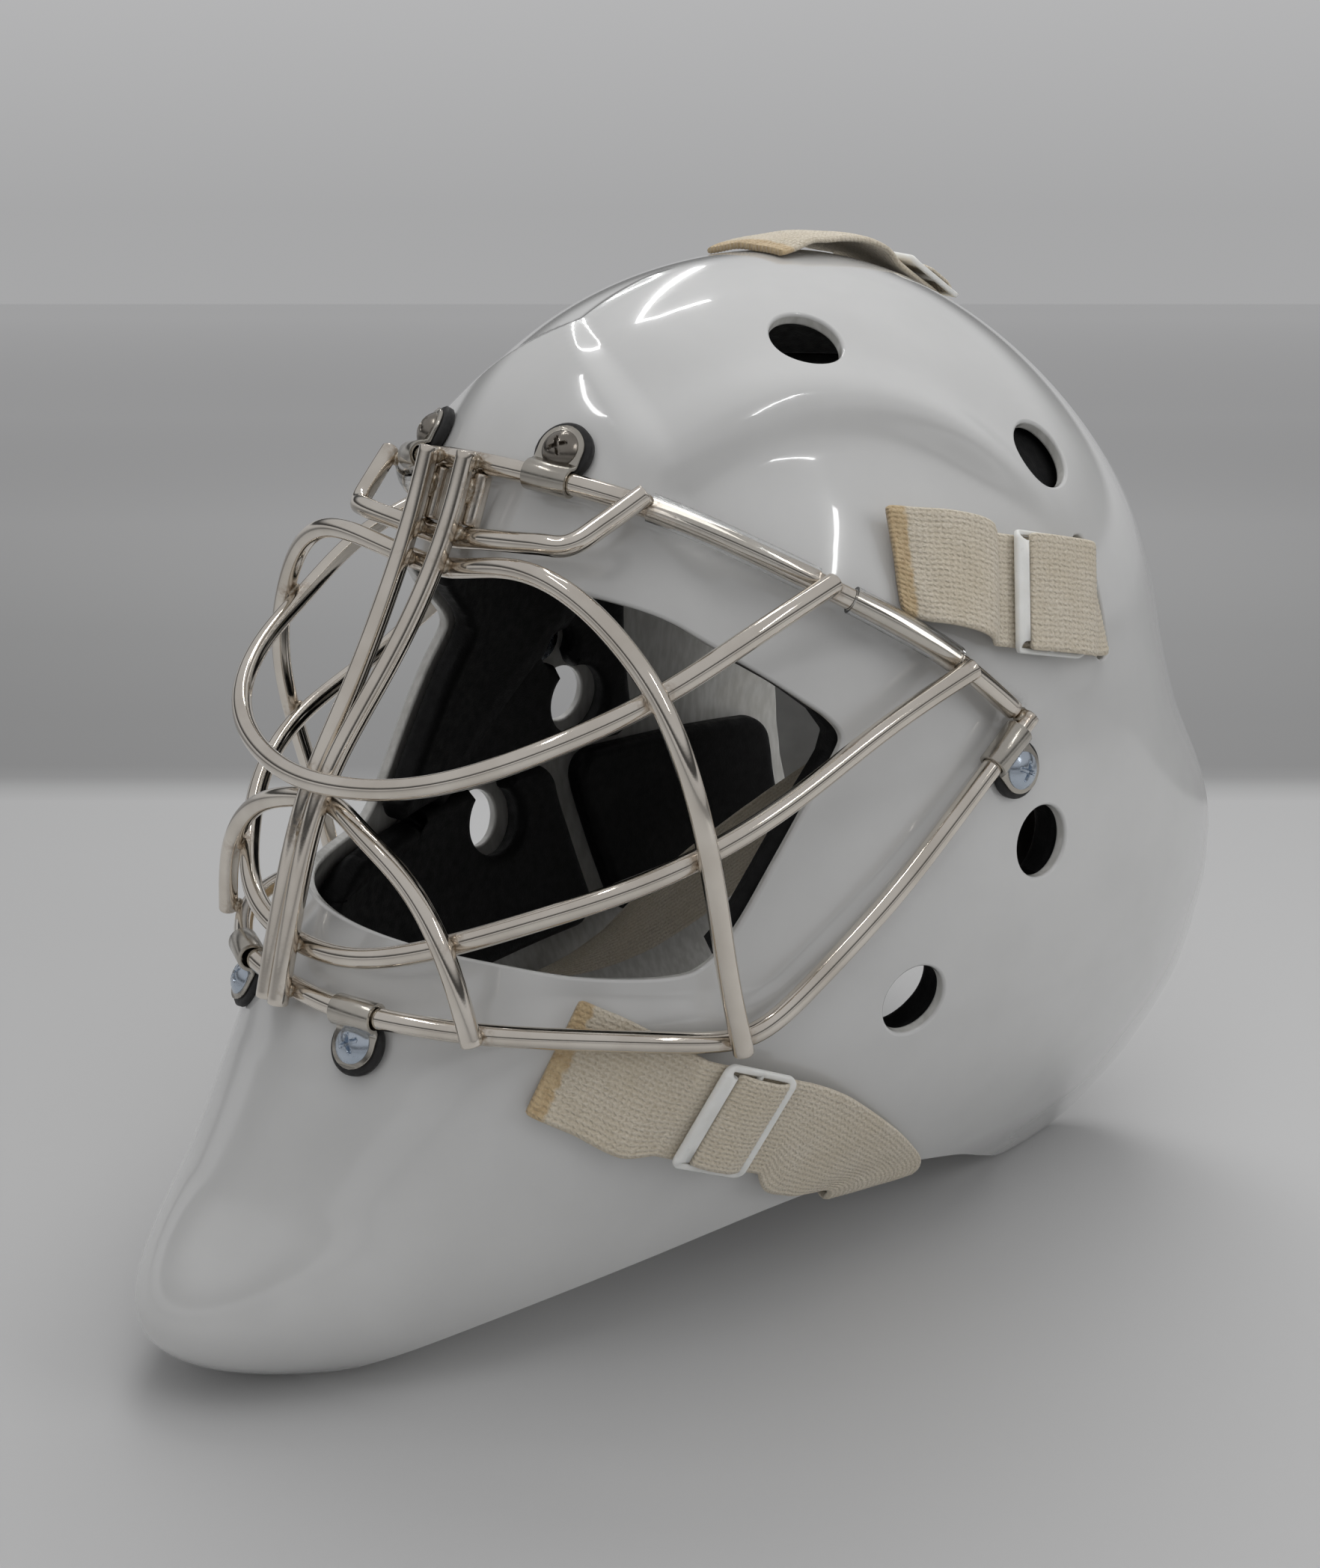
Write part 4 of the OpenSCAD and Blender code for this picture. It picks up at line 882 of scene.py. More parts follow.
def screw_head(low, radius):
    """Points and faces of a low domed head on its shank, with a cross sunk into the dome."""
    top = low + CLIP_T
    rings, sides = 26, 64
    angle = [2 * math.pi * j / sides for j in range(sides)]
    points = [(0.0, 0.0, top + HEAD_H - CROSS_DEPTH)]
    for i in range(1, rings + 1):
        r = radius * math.sin(math.pi / 2 * i / rings)
        dome = top + HEAD_EDGE + (HEAD_H - HEAD_EDGE) * (1 - (r / radius) ** 2.4)
        reach = min(1.0, max(0.0, (CROSS_REACH - r) / 0.5))
        for a in angle:
            arm = r * min(abs(math.cos(a)), abs(math.sin(a)))
            cut = min(1.0, max(0.0, (CROSS_W - arm) / 0.2)) * reach
            x, y = r * math.cos(a + CROSS_TURN), r * math.sin(a + CROSS_TURN)
            points.append((x, y, dome - CROSS_DEPTH * cut))
    for r, z in ((radius, top), (SHANK_R, top), (SHANK_R, -WALL - 2)):
        points += [(r * math.cos(a + CROSS_TURN), r * math.sin(a + CROSS_TURN), z) for a in angle]
    faces = [(0, 1 + j, 1 + (j + 1) % sides) for j in range(sides)]
    for i in range(rings + 2):
        for j in range(sides):
            a, b = 1 + i * sides + j, 1 + i * sides + (j + 1) % sides
            faces.append((a, a + sides, b + sides, b))
    faces.append(tuple(1 + (rings + 2) * sides + j for j in range(sides)))
    return points, faces


def add_fasteners():
    """Clips with their rubber pads, screws and tee nuts."""
    for k, (name, low, metal, slot, head_r) in enumerate(CLIPS):
        rows = sheet_strip(*clip_path(k, low))
        add_pair(k, name + "_clip", rows.reshape(-1, 3), ring_faces(*rows.shape[:2]), "clip", "clip_steel",
                 name + "_clips", 40)
        pad = lathe([(2.6, 0.2), (PAD_R - 0.6, 0.2), (PAD_R, 0.8), (PAD_R, low - 0.7),
                     (PAD_R - 0.7, low - 0.1), (2.6, low - 0.1)], 56)
        add_pair(k, name + "_rubber", *pad, "rubber", "rubber", name + "_clip_pads", 50)
        add_pair(k, name + "_screw", *screw_head(low, head_r), metal, slot, name + "_screws", 50)
        nut = lathe([(r, z - WALL) for r, z in NUT_PROFILE], 48)
        add_pair(k, name + "_nut", *nut, "zinc", "zinc", "tee_nuts", 40)


# Clear sleeves, between two numbers of the top bar's path
SLEEVES = {"front_sleeve": (40, 61), "rear_sleeve": (65, 81)}
SLEEVE_OUTER, SLEEVE_INNER = 4.0, 3.15


def add_sleeves():
    """Clear tubes round the top bar."""
    for name, (first, last) in SLEEVES.items():
        path = curve(drawn(TOP_BAR), 10)[first:last]
        _, u, w = turning_frames(path)
        sides = 28
        angle = 2 * math.pi * np.arange(sides) / sides
        rows = [(path[i], SLEEVE_OUTER, i) for i in range(len(path))]
        rows += [(path[i], SLEEVE_INNER, i) for i in range(len(path) - 1, -1, -1)]
        points = np.concatenate([c + r * (np.cos(angle)[:, None] * u[i] + np.sin(angle)[:, None] * w[i])
                                 for c, r, i in rows])
        n = len(rows)
        faces = ring_faces(n, sides, ends=False)
        faces += [((n - 1) * sides + i, (n - 1) * sides + (i + 1) % sides, (i + 1) % sides, i)
                  for i in range(sides)]
        left = mesh_object(name + "_tube_left", points, faces, material=MATERIALS["clear"],
                           slot="clear_sleeve")
        left.data.set_sharp_from_angle(angle=math.radians(60))
        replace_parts(left, name + "_left")
        add_twin(left, name + "_tube_right", "clear_sleeve", name + "_right")


# Foam liner: its room to the shell, thickness, rounding and grid, and how far it stays off openings
SKIN_GAP, LINER_T, FOAM_RIM, FOAM_GRID = 1.3, 10.0, 3.5, 1.5
FACE_RIM, VENT_RIM, TEE_ROOM = 1.5, 3.0, 8.5
FOAM_FILL, FOAM_CORNER, CROWN_CORNER = 0.9, 12.0, 4.0
# Each pad from angle to angle and from height to height on the shell
FOREHEAD_BOX, CHIN_BOX = (-56, 56, 217, 262), (-34, 34, 22, 66)
CROWN_BOX, CROWN_SIDE_BOX = (84, 276, 250, 279), (74, 149, 222, 249.7)
TEMPLE_BOX, JAW_BOX, REAR_BOX = (46, 92, 123, 213), (38, 81, 50, 119), (84.5, 113, 48, 119)
# Room to the shell of the pads that lie on tee nuts
FOREHEAD_GAP, TEMPLE_GAP = 2.1, 1.8


def patch_field(box, corner):
    """Distance outside a round-cornered patch between two angles and two heights."""
    a0, a1, v0, v1 = box
    am, vm = (a0 + a1) / 2, (v0 + v1) / 2

    def field(av):
        a, v = av[:, 0], av[:, 1]
        ea = section(a + 0.5, v) - section(a - 0.5, v)
        ev = section(a, v + 0.5) - section(a, v - 0.5)
        sa, sv = np.linalg.norm(ea, axis=1), np.linalg.norm(ev, axis=1)
        qx = (np.abs(a - am) - (a1 - a0) / 2) * sa + corner
        qy = (np.abs(v - vm) - (v1 - v0) / 2) * sv + corner
        g, gx, gy = rounded_box(qx, qy, corner)
        gx, gy = gx * np.sign(a - am), gy * np.sign(v - vm)
        return g, gx[:, None] * ea / sa[:, None] + gy[:, None] * ev / sv[:, None]
    return field


def foam_piece(name, box, holes=(), gap=SKIN_GAP, corner=FOAM_CORNER, face=None):
    """A pad on the inner wall, rounded at its edges, that stops short of the face opening."""
    base = WALL + gap
    patch = patch_field(box, corner)

    def surface(a, v):
        n = skin_normal(a, v)
        return section(a, v) - base * n, n

    def field(p, n, av):
        parts = [patch(av)] + [round_hole(p, h) for h in holes]
        if face:
            g, way = face(p)
            parts.append((FACE_RIM - g, -way))
        return most(parts, n)
    a0, a1, v0, v1 = box
    am, vm = (a0 + a1) / 2, (v0 + v1) / 2
    wide = (a1 - a0) * float(np.linalg.norm(section(am + 1, vm) - section(am - 1, vm))) / 2
    high = (v1 - v0) * float(np.linalg.norm(section(am, vm + 1) - section(am, vm - 1))) / 2
    a = np.linspace(a0 - 1, a1 + 1, int(wide / FOAM_GRID) + 2)
    v = np.linspace(v0 - 1, v1 + 1, int(high / FOAM_GRID) + 2)
    points, faces, normals, _ = thick_sheet(surface, field, a, v, LINER_T, FOAM_RIM, rim_steps=5)
    pad = mesh_object(name, points, faces, normals, material=MATERIALS["foam"], slot="foam")
    return pad


def add_foam_pair(name, node_left, node_right, *place, **more):
    """A side pad and its twin."""
    left = foam_piece(name + "_left", *place, **more)
    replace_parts(left, node_left)
    add_twin(left, name + "_right", "foam", node_right)


def add_liner():
    """The foam pads. They keep clear of the vents, the tee nuts and the face opening."""
    vent = [side_frame(*VENTS[i])[:2] + (VENT_D / 2 + VENT_RIM,) for i in range(2)]
    tee = [(s[0], s[3], TEE_ROOM) for s in SCREWS]
    brow_tees = [tee[0], (mirrored(tee[0][0]), mirrored(tee[0][1]), tee[0][2])]
    face = polygon_field([(y - MID_Y, z) for y, z in FACE])
    forehead = foam_piece("forehead_foam", FOREHEAD_BOX, brow_tees, FOREHEAD_GAP, face=face)
    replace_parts(forehead, "forehead_pad")
    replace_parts(foam_piece("crown_foam", CROWN_BOX, corner=CROWN_CORNER), "crown_pad")
    add_foam_pair("crown_side_foam", "crown_pad", "crown_pad", CROWN_SIDE_BOX, corner=CROWN_CORNER)
    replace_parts(foam_piece("chin_foam", CHIN_BOX), "chin_cup")
    for name, box, holes, gap in (("temple", TEMPLE_BOX, [vent[0], tee[2]], TEMPLE_GAP),
                                  ("jaw", JAW_BOX, [vent[1]], SKIN_GAP), ("rear", REAR_BOX, [], SKIN_GAP)):
        add_foam_pair(name + "_foam", name + "_pad_left", name + "_pad_right", box, holes, gap,
                      face=None if name == "rear" else face)


# Back plate
PLATE_AXIS_Y = 83 - MID_Y
PLATE_R, PLATE_BOW, PLATE_LOW_Z, PLATE_H, PLATE_T = 122.0, 300.0, 55.0, 184.0, 3.5
PLATE_MID_Z = PLATE_LOW_Z + PLATE_H / 2
PLATE_WIDEST_Z = 120.0
# The plate's foam: width, how much lower than the plate it is, thickness, and the rounding of its edge,
# then its vents: places, radius, rounding, and the share of its thickness that is left in them
BACK_PAD_W, BACK_PAD_SHORT, BACK_PAD_T, BACK_PAD_EDGE = 88.0, 24.0, 12.0, 5.0
BACK_VENTS = ((0, 85), (0, 120), (0, 155), (22, 103), (22, 138), (-22, 103), (-22, 138))
BACK_VENT_R, BACK_VENT_EDGE, BACK_VENT_T = 6.5, 3.5, 0.12


def plate_r(z):
    """Radius of the plate's outside at a height."""
    return PLATE_R - (np.asarray(z, float) - PLATE_WIDEST_Z) ** 2 / (2 * PLATE_BOW)


def plate_pt(x, z, h):
    """A place at height H over the plate."""
    r = plate_r(z) + h
    return np.array((x, PLATE_AXIS_Y + math.sqrt(r * r - x * x), z))


def add_back_pad():
    """Foam on the inside of the back plate, with its vents."""
    w, h = BACK_PAD_W, PLATE_H - BACK_PAD_SHORT
    nx, ny = 56, 100
    sx, sz = np.meshgrid(np.linspace(-1, 1, nx + 1), np.linspace(-1, 1, ny + 1))
    m = np.maximum(np.abs(sx), np.abs(sz))
    circle = (np.abs(sx) ** 4 + np.abs(sz) ** 4) ** 0.25
    k = np.where(m > TINY, m / np.maximum(circle, TINY), 1.0)
    x, z = sx * k * w / 2, PLATE_MID_Z + sz * k * h / 2
    edge = (1 - m) * w / 2
    lift = np.sqrt(np.clip(1 - (1 - np.clip(edge / BACK_PAD_EDGE, 0, 1)) ** 2, 0, 1))
    swell = 0.5 + 0.5 * lift
    for vx, vz in BACK_VENTS:
        size = np.hypot(x - vx, z - vz)
        dip = np.clip((size - BACK_VENT_R) / BACK_VENT_EDGE, 0, 1)
        brim = np.sqrt(1 - (1 - dip) ** 2) * 0.45 + 0.55
        swell = swell * np.where(size < BACK_VENT_R, BACK_VENT_T, brim)

    def at(depth):
        r = plate_r(z) - PLATE_T - 0.1 - depth
        return np.stack([x, PLATE_AXIS_Y + np.sqrt(r * r - x * x), z], -1)
    pad = mesh_object("back_foam", *closed_sheet(at(np.zeros_like(x)), at(BACK_PAD_T * swell)),
                      body="back_plate", material=MATERIALS["foam"], slot="foam")
    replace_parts(pad, "back_pad")


# Straps
STRAP_W, STRAP_T = 35.0, 2.4
SLIDE_L, SLIDE_TRAVEL = 28.0, 4.0
STRAIGHT = SLIDE_L / 2 + SLIDE_TRAVEL + 1


def place(c, t, w):
    """A slide's middle, and the ways along and across its strap."""
    run = unit(t)
    wide = unit(np.asarray(w, float) - np.dot(w, run) * run)
    return drawn(c), run, wide


TEMPLE_PLACE = place((110, 94.9, 216.3), (0.13, 0.97, -0.2), (-0.27, 0.2, 0.94))
JAW_PLACE = place((96.2, -17.8, 78), (0.186, 0.894, -0.41), (0.315, 0.4, 0.86))
CROWN_PLACE = place((0, 149, 300.3), (0, 0.885, -0.466), (-0.99, 0, 0.139))


SLIDE_STRAP_W = 32.6
# How far a strap lies up from its slide's place, and where the temple strap's straight run starts
TEMPLE_UP, TEMPLE_AHEAD, JAW_UP = -1.0, 22.5, 1.2


def straight_rows(p, up=0.0, ahead=STRAIGHT):
    """A strap's straight run through its slide, as pairs of places on its two edges."""
    c, half = p[0] + up * p[2], SLIDE_STRAP_W / 2 * p[2]
    return [(c + s * p[1] + half, c + s * p[1] - half) for s in (-ahead, 0, STRAIGHT)]


def skin_row(places):
    """A pair of places at heights over the shell's side."""
    pair = []
    for y, z, h in places:
        a, v = a_at_y(y, z), v_of(z)
        pair.append(section(a, v) + h * skin_normal(a, v))
    return tuple(pair)


def row(c, w):
    """A pair of places across a strap, from its middle and the way across it."""
    h = STRAP_W / 2 * unit(w)
    return drawn(c) + h, drawn(c) - h


def plate_rows(x, z):
    """A strap's way round the plate's edge and along its outside."""
    upper, lower = z + STRAP_W / 2, z - STRAP_W / 2
    return [(plate_pt(x + dx, upper, h), plate_pt(x + dx, lower, h)) for dx, h in PLATE_RUN]


# The ways that the straps follow: over the plate and through the slot as (along, height), and by
# places of both edges or of the middle for the rest
PLATE_RUN = [(9, -14), (4.2, -6.5), (1.6, -2.6), (-1.4, 0.8), (-5, 1.9), (-14, 1.9), (-26, 1.9)]
TEMPLE_FRONT = [((90.5, 43.5, 245), (101.2, 40.1, 217.3)), ((94.6, 50.5, 244.2), (105.2, 44.9, 214.4)),
                ((99.6, 62.7, 242.5), (111.2, 53.3, 212.9)), ((103.3, 73.9, 238.9), (113.9, 63.3, 208.9))]
SLOT_RUN = [(-4.2, 2.6), (-0.6, 0.6), (1.2, -3.2), (2.6, -6.6), (7, -9.6)]
JAW_FRONT = [((-53, 117, 3), (-68.5, 88, 3)), ((-44, 112, 3), (-58, 81, 3)),
             ((-31, 104.5, 3.6), (-46.5, 73, 4))]
JAW_REAR = [((20, 78.5, 4.6), (0, 49.5, 4)), ((42, 60, 3), (13, 41.8, 2.6)),
            ((60, 43, 2.1), (24, 39.5, 2.1)), ((67, 34.5, 2.2), (28, 37, 2.2)),
            ((68.5, 28.4, 1.3), (29, 33, 1.3)), ((69, 26.8, -2), (30, 31.3, -2)),
            ((69.5, 28.2, -5.4), (31, 32.8, -5.4)), ((70, 36, -6.6), (33, 40, -6.6))]
JAW_INSIDE = [((82, 84, 54), (83, 54, 40)), ((76, 118, 78), (75, 103, 43))]
CROWN_FRONT = [(75, 311.6), (86, 314), (99, 315.4), (112, 315), (123, 312.4)]
CROWN_REAR = [(176.5, 283), (181.5, 273.5), (184.4, 262), (185, 250)]
CROWN_PLATE_Z, CROWN_PLATE_H = (238, 225, 210), 1.8


def slot_rows():
    """The temple strap's way through the shell's slot."""
    centre, n, x, y = slot_axes()
    middles = [centre + h * n + along * x for along, h in SLOT_RUN]
    return [(c + STRAP_W / 2 * y, c - STRAP_W / 2 * y) for c in middles]


def temple_rows():
    front = [(drawn(u), drawn(l)) for u, l in TEMPLE_FRONT]
    front += straight_rows(TEMPLE_PLACE, TEMPLE_UP, TEMPLE_AHEAD)[:1]
    rear = straight_rows(TEMPLE_PLACE, TEMPLE_UP)[2:] + slot_rows()
    rear += [row((96, 136, 209), (-0.1, -0.05, 1)), row((84, 153, 206), (-0.05, -0.05, 1))]
    return front, rear + plate_rows(54, 195)


def jaw_rows():
    front = [skin_row(r) for r in JAW_FRONT] + straight_rows(JAW_PLACE, JAW_UP)[:1]
    rear = straight_rows(JAW_PLACE, JAW_UP)[2:] + [skin_row(r) for r in JAW_REAR]
    rear += [(drawn(u), drawn(l)) for u, l in JAW_INSIDE]
    return front, rear + plate_rows(50, 92)


def crown_rows():
    left = (-1, 0, 0)
    front = [row((0, y, z), left) for y, z in CROWN_FRONT] + straight_rows(CROWN_PLACE)[:1]
    rear = straight_rows(CROWN_PLACE)[2:] + [row((0, y, z), left) for y, z in CROWN_REAR]
    half = np.array((STRAP_W / 2, 0, 0))
    for z in CROWN_PLATE_Z:
        c = plate_pt(0, z, CROWN_PLATE_H)
        rear.append((c - half, c + half))
    return front, rear


# Cloth: points between two rows, the room between its rows, its ribs and their height, the share of
# its width that is rounded off, how far its end is rounded, and how far from its end it hangs loose
ROW_STEPS, ROW_STEP = 12, 0.8
RIBS, RIB_H, EDGE_SHARE, END_ROUND, LOOSE_REACH = 21, 0.09, 0.045, 2.2, 42
# The room that the ribs take of half its thickness, the share of it left at the edges, and its wobble
RIB_ROOM, EDGE_LEFT, WOBBLE_H = 0.25, 0.25, 0.16
# What is added to a turn's place along, in millimetres, so that it shows no sealed end
PAST_END = 60


def wobble(at, q, phase):
    """Small unevenness of worn cloth, a sum of a few slow waves."""
    a, b = at[:, None], q[None, :] * STRAP_W
    waves = np.sin(a / 5.1 + b / 9.0 + phase) + np.sin(a / 3.3 - b / 6.1 + 2 * phase)
    return WOBBLE_H * (waves + 0.7 * np.sin(a / 2.1 + b / 2.9 + phase))


def strap_mesh(name, front, rear, thick=STRAP_T, body=None, calm=0.0, droop=0.0):
    """A knitted elastic, a flat tube of cloth with fine ribs, and its length and area laid flat."""
    u, l = [np.concatenate([curve([pair[i] for pair in rows], ROW_STEPS) for rows in (front, rear)])
            for i in (0, 1)]
    s = length_along((u + l) / 2)
    at = np.linspace(0, s[-1], int(s[-1] / ROW_STEP) + 1)
    u, l = at_lengths(u, s, at), at_lengths(l, s, at)
    mid, wide = (u + l) / 2, u - l
    normal = unit(np.cross(tangents(mid), wide))[:, None]
    q = np.linspace(-0.5, 0.5, RIBS * 4 + 1)
    rib = RIB_H * np.cos(2 * math.pi * RIBS * (q + 0.5))
    edge = np.clip((np.abs(q) - 0.5 + EDGE_SHARE) / EDGE_SHARE, 0, 1)
    half = (thick / 2 - RIB_ROOM) * (EDGE_LEFT + (1 - EDGE_LEFT) * np.sqrt(1 - edge ** 2))
    end = np.clip(1 - at / END_ROUND, 0, 1)
    squeeze = 1 - EDGE_SHARE * (1 - np.sqrt(1 - end * end))
    centre = mid[:, None] + q[None, :, None] * wide[:, None] * squeeze[:, None, None]
    loose = np.clip(1 - at / LOOSE_REACH, 0, 1) if body is None else np.zeros_like(at)
    centre = centre + (wobble(at, q, len(name)) * (0.5 + loose[:, None]) * (1 - calm))[..., None] * normal
    centre = centre - (droop * (2 * q) ** 2)[None, :, None] * normal
    rise = (half + rib)[None, :, None] * normal
    strap = mesh_object(name, *closed_sheet(centre + rise, centre - rise), body=body,
                        material=MATERIALS["elastic"], slot="elastic")
    shape = (len(at), len(q))
    place_u = np.tile(np.broadcast_to(q * STRAP_W, shape).ravel(), 2)
    place_s = np.tile(np.broadcast_to(at[:, None] + (PAST_END if body else 0), shape).ravel(), 2)
    set_run(strap, place_u, place_s)
    set_value(strap, "across", place_u * MM)
    set_value(strap, "along", place_s * MM)
    length = float(at[-1])
    area = float(np.linalg.norm(wide, axis=1)[:-1] @ np.diff(at))
    return strap, length, area


# Slides: length to the front and the rear of its middle, how far its middle lies up the strap, the
# height of its rear bar, its rails' width and height, and half the width of its turn of elastic
SLIDES = {"temple": (17.0, 13.0, -1.0, 2.2, 1.6, 1.1, 17.0), "jaw": (14.5, 11.5, 1.6, 2.6, 2.1, 2.1, 15.7),
          "crown": (14.5, 13.0, 0.0, 2.6, 2.1, 2.1, 15.7)}
SLIDE_HALF, SLIDE_CORNER = 17.9, 3.4
# The front bar's width and height, the rear bar's width, the frame's thickness, and how much thicker
# the front bar is
FRONT_BAR_W, FRONT_BAR_Z, REAR_BAR_W, FRAME_T, FRONT_MORE_T = 5.0, 2.85, 2.9, 1.7, 0.8
MIDDLE_BAR_R, MIDDLE_BAR_Z = 0.9, 2.2
# A place well inside the mask, which tells a slide's outer side from its inner one
INSIDE_MASK = (0, 60.0, 150.0)
# The turn of elastic on the temple slides, then its thickness, its room over the bar and its calm
TEMPLE_BULGE = [(0.4, 3.0), (3.0, 3.8), (8.0, 4.5), (14.0, 4.7), (20.0, 4.6), (24.5, 4.2), (27.0, 3.4),
                (28.6, 2.5)]
TURN_T, TURN_RISE, TURN_CALM = 1.9, 0.1, 0.6


def bulge_rows(kind):
    """The turn of elastic over a slide's middle bar, as (along, height) pairs from its middle."""
    front, rear = SLIDES[kind][:2]
    end = front + rear
    run = TEMPLE_BULGE
    if kind != "temple":
        run = [(0.6, 2.5), (3.5, 3.5), (7.0, 4.2), (end - 12.0, 4.2), (end - 9.0, 3.3), (end - 7.6, 2.5)]
    return [(a + FRONT_BAR_W - front, h) for a, h in run]


def frame_loop(front, rear):
    """Places round a slide's outside and the way out at each, with round corners."""
    loop = []
    for cx, cy, a0 in ((rear, SLIDE_HALF, 0), (-front, SLIDE_HALF, 90), (-front, -SLIDE_HALF, 180),
                       (rear, -SLIDE_HALF, 270)):
        ox, oy = cx - math.copysign(SLIDE_CORNER, cx), cy - math.copysign(SLIDE_CORNER, cy)
        for i in range(9):
            a = math.radians(a0 + 90 * i / 8)
            x, y = math.cos(a), math.sin(a)
            loop.append((ox + SLIDE_CORNER * x, oy + SLIDE_CORNER * y, x, y))
        if a0 in (0, 180):
            nx = -front + SLIDE_CORNER if a0 == 0 else rear - SLIDE_CORNER
            loop += [(ox + (nx - ox) * f, cy, 0.0, math.copysign(1.0, cy)) for f in (0.25, 0.5, 0.75)]
        else:
            loop += [(cx, oy - 2 * oy * f, math.copysign(1.0, cx), 0.0) for f in (0.2, 0.4, 0.6, 0.8)]
    return loop


def squarish(c):
    """A circle's coordinate moved towards a rounded square's."""
    return math.copysign(abs(c) ** 0.6, c)


def slide_frame(name, kind, p, node):
    """A moulded frame with a wide front bar, thin rails and a slimmer rear bar, and its turn of elastic."""
    front, rear, up, rear_z, rail, rail_z, reach = SLIDES[kind]
    c = p[0] + up * p[2]
    out = unit(np.cross(p[1], p[2]))
    if np.dot(out, c - np.array(INSIDE_MASK)) < 0:
        out = -out
    sides = 20
    angle = [2 * math.pi * j / sides for j in range(sides)]
    rows = []
    for x, y, nx, ny in frame_loop(front, rear):
        ahead, behind = max(0.0, -nx) ** 2, max(0.0, nx) ** 2
        wide = rail + (FRONT_BAR_W - rail) * ahead + (REAR_BAR_W - rail) * behind
        tall = FRAME_T + FRONT_MORE_T * ahead
        z = rail_z + (FRONT_BAR_Z - rail_z) * ahead + (rear_z - rail_z) * behind
        for a in angle:
            e = squarish(math.cos(a)) * wide / 2 - wide / 2
            f = squarish(math.sin(a)) * tall / 2
            rows.append(c + (x + nx * e) * p[1] + (y + ny * e) * p[2] + (z + f) * out)
    n = len(rows) // sides
    points = np.array(rows)
    faces = [(i * sides + j, i * sides + (j + 1) % sides, (i + 1) % n * sides + (j + 1) % sides,
              (i + 1) % n * sides + j) for i in range(n) for j in range(sides)]
    middle = c + (rear - front) / 2 * p[1]
    places = np.linspace(1 - SLIDE_HALF, SLIDE_HALF - 1, 8)
    bar_path = np.array([middle + y * p[2] + MIDDLE_BAR_Z * out for y in places])
    bar, more, _ = tube(bar_path, MIDDLE_BAR_R, sides=12)
    faces += [tuple(v + len(points) for v in f) for f in more]
    piece = mesh_object(name + "_frame", np.concatenate([points, bar]), faces, body=node,
                        material=MATERIALS["slide"], slot="slide_plastic")
    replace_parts(piece, node)
    middles = [c + a * p[1] + (h + TURN_RISE) * out for a, h in bulge_rows(kind)]
    rows = [(m + reach * p[2], m - reach * p[2]) for m in middles]
    turn, length, area = strap_mesh(name + "_turn", rows[:3], rows[3:], TURN_T, node, TURN_CALM)
    return length


# Two places on the left side of each strap, one by the mask and one by the plate; the script reads them,
# mirrored for the right, but makes nothing move with either
STRAP_ENDS = {"temple": ((96, 136, 209), (62, 175, 198)), "jaw": ((79, 100, 65), (58, 185, 90)),
              "crown": ((0, 176, 283), (0, 185, 245))}
CROWN_DROOP = 1.4


def add_straps():
    """The straps and their slides. The crown has one, and the temple and the jaw have one a side."""
    for name, rows, at in (("temple", temple_rows(), TEMPLE_PLACE), ("jaw", jaw_rows(), JAW_PLACE),
                           ("crown", crown_rows(), CROWN_PLACE)):
        single = name == "crown"
        first = "" if single else "_left"
        left, length, area = strap_mesh(name + "_elastic", *rows, droop=CROWN_DROOP if single else 0.0)
        pieces = [(left, name + "_strap" + first, 1)]
        if not single:
            pieces.append((mirror_object(left, name + "_elastic_right"), name + "_strap_right", -1))
        for piece, node, side in pieces:
            a, b = [tuple(drawn((side * x, y, z)) * MM) for x, y, z in STRAP_ENDS[name]]
            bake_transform(piece)
            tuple(a)
            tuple(b)
            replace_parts(piece, node)
        turn = slide_frame(name, name, at, name + "_slide" + first)
        print("strap", name, round(length, 1), round(area / length, 1), "turn", round(turn, 1))
        if not single:
            slide_frame(name + "_right", name, tuple(mirrored(v) for v in at), name + "_slide_right")


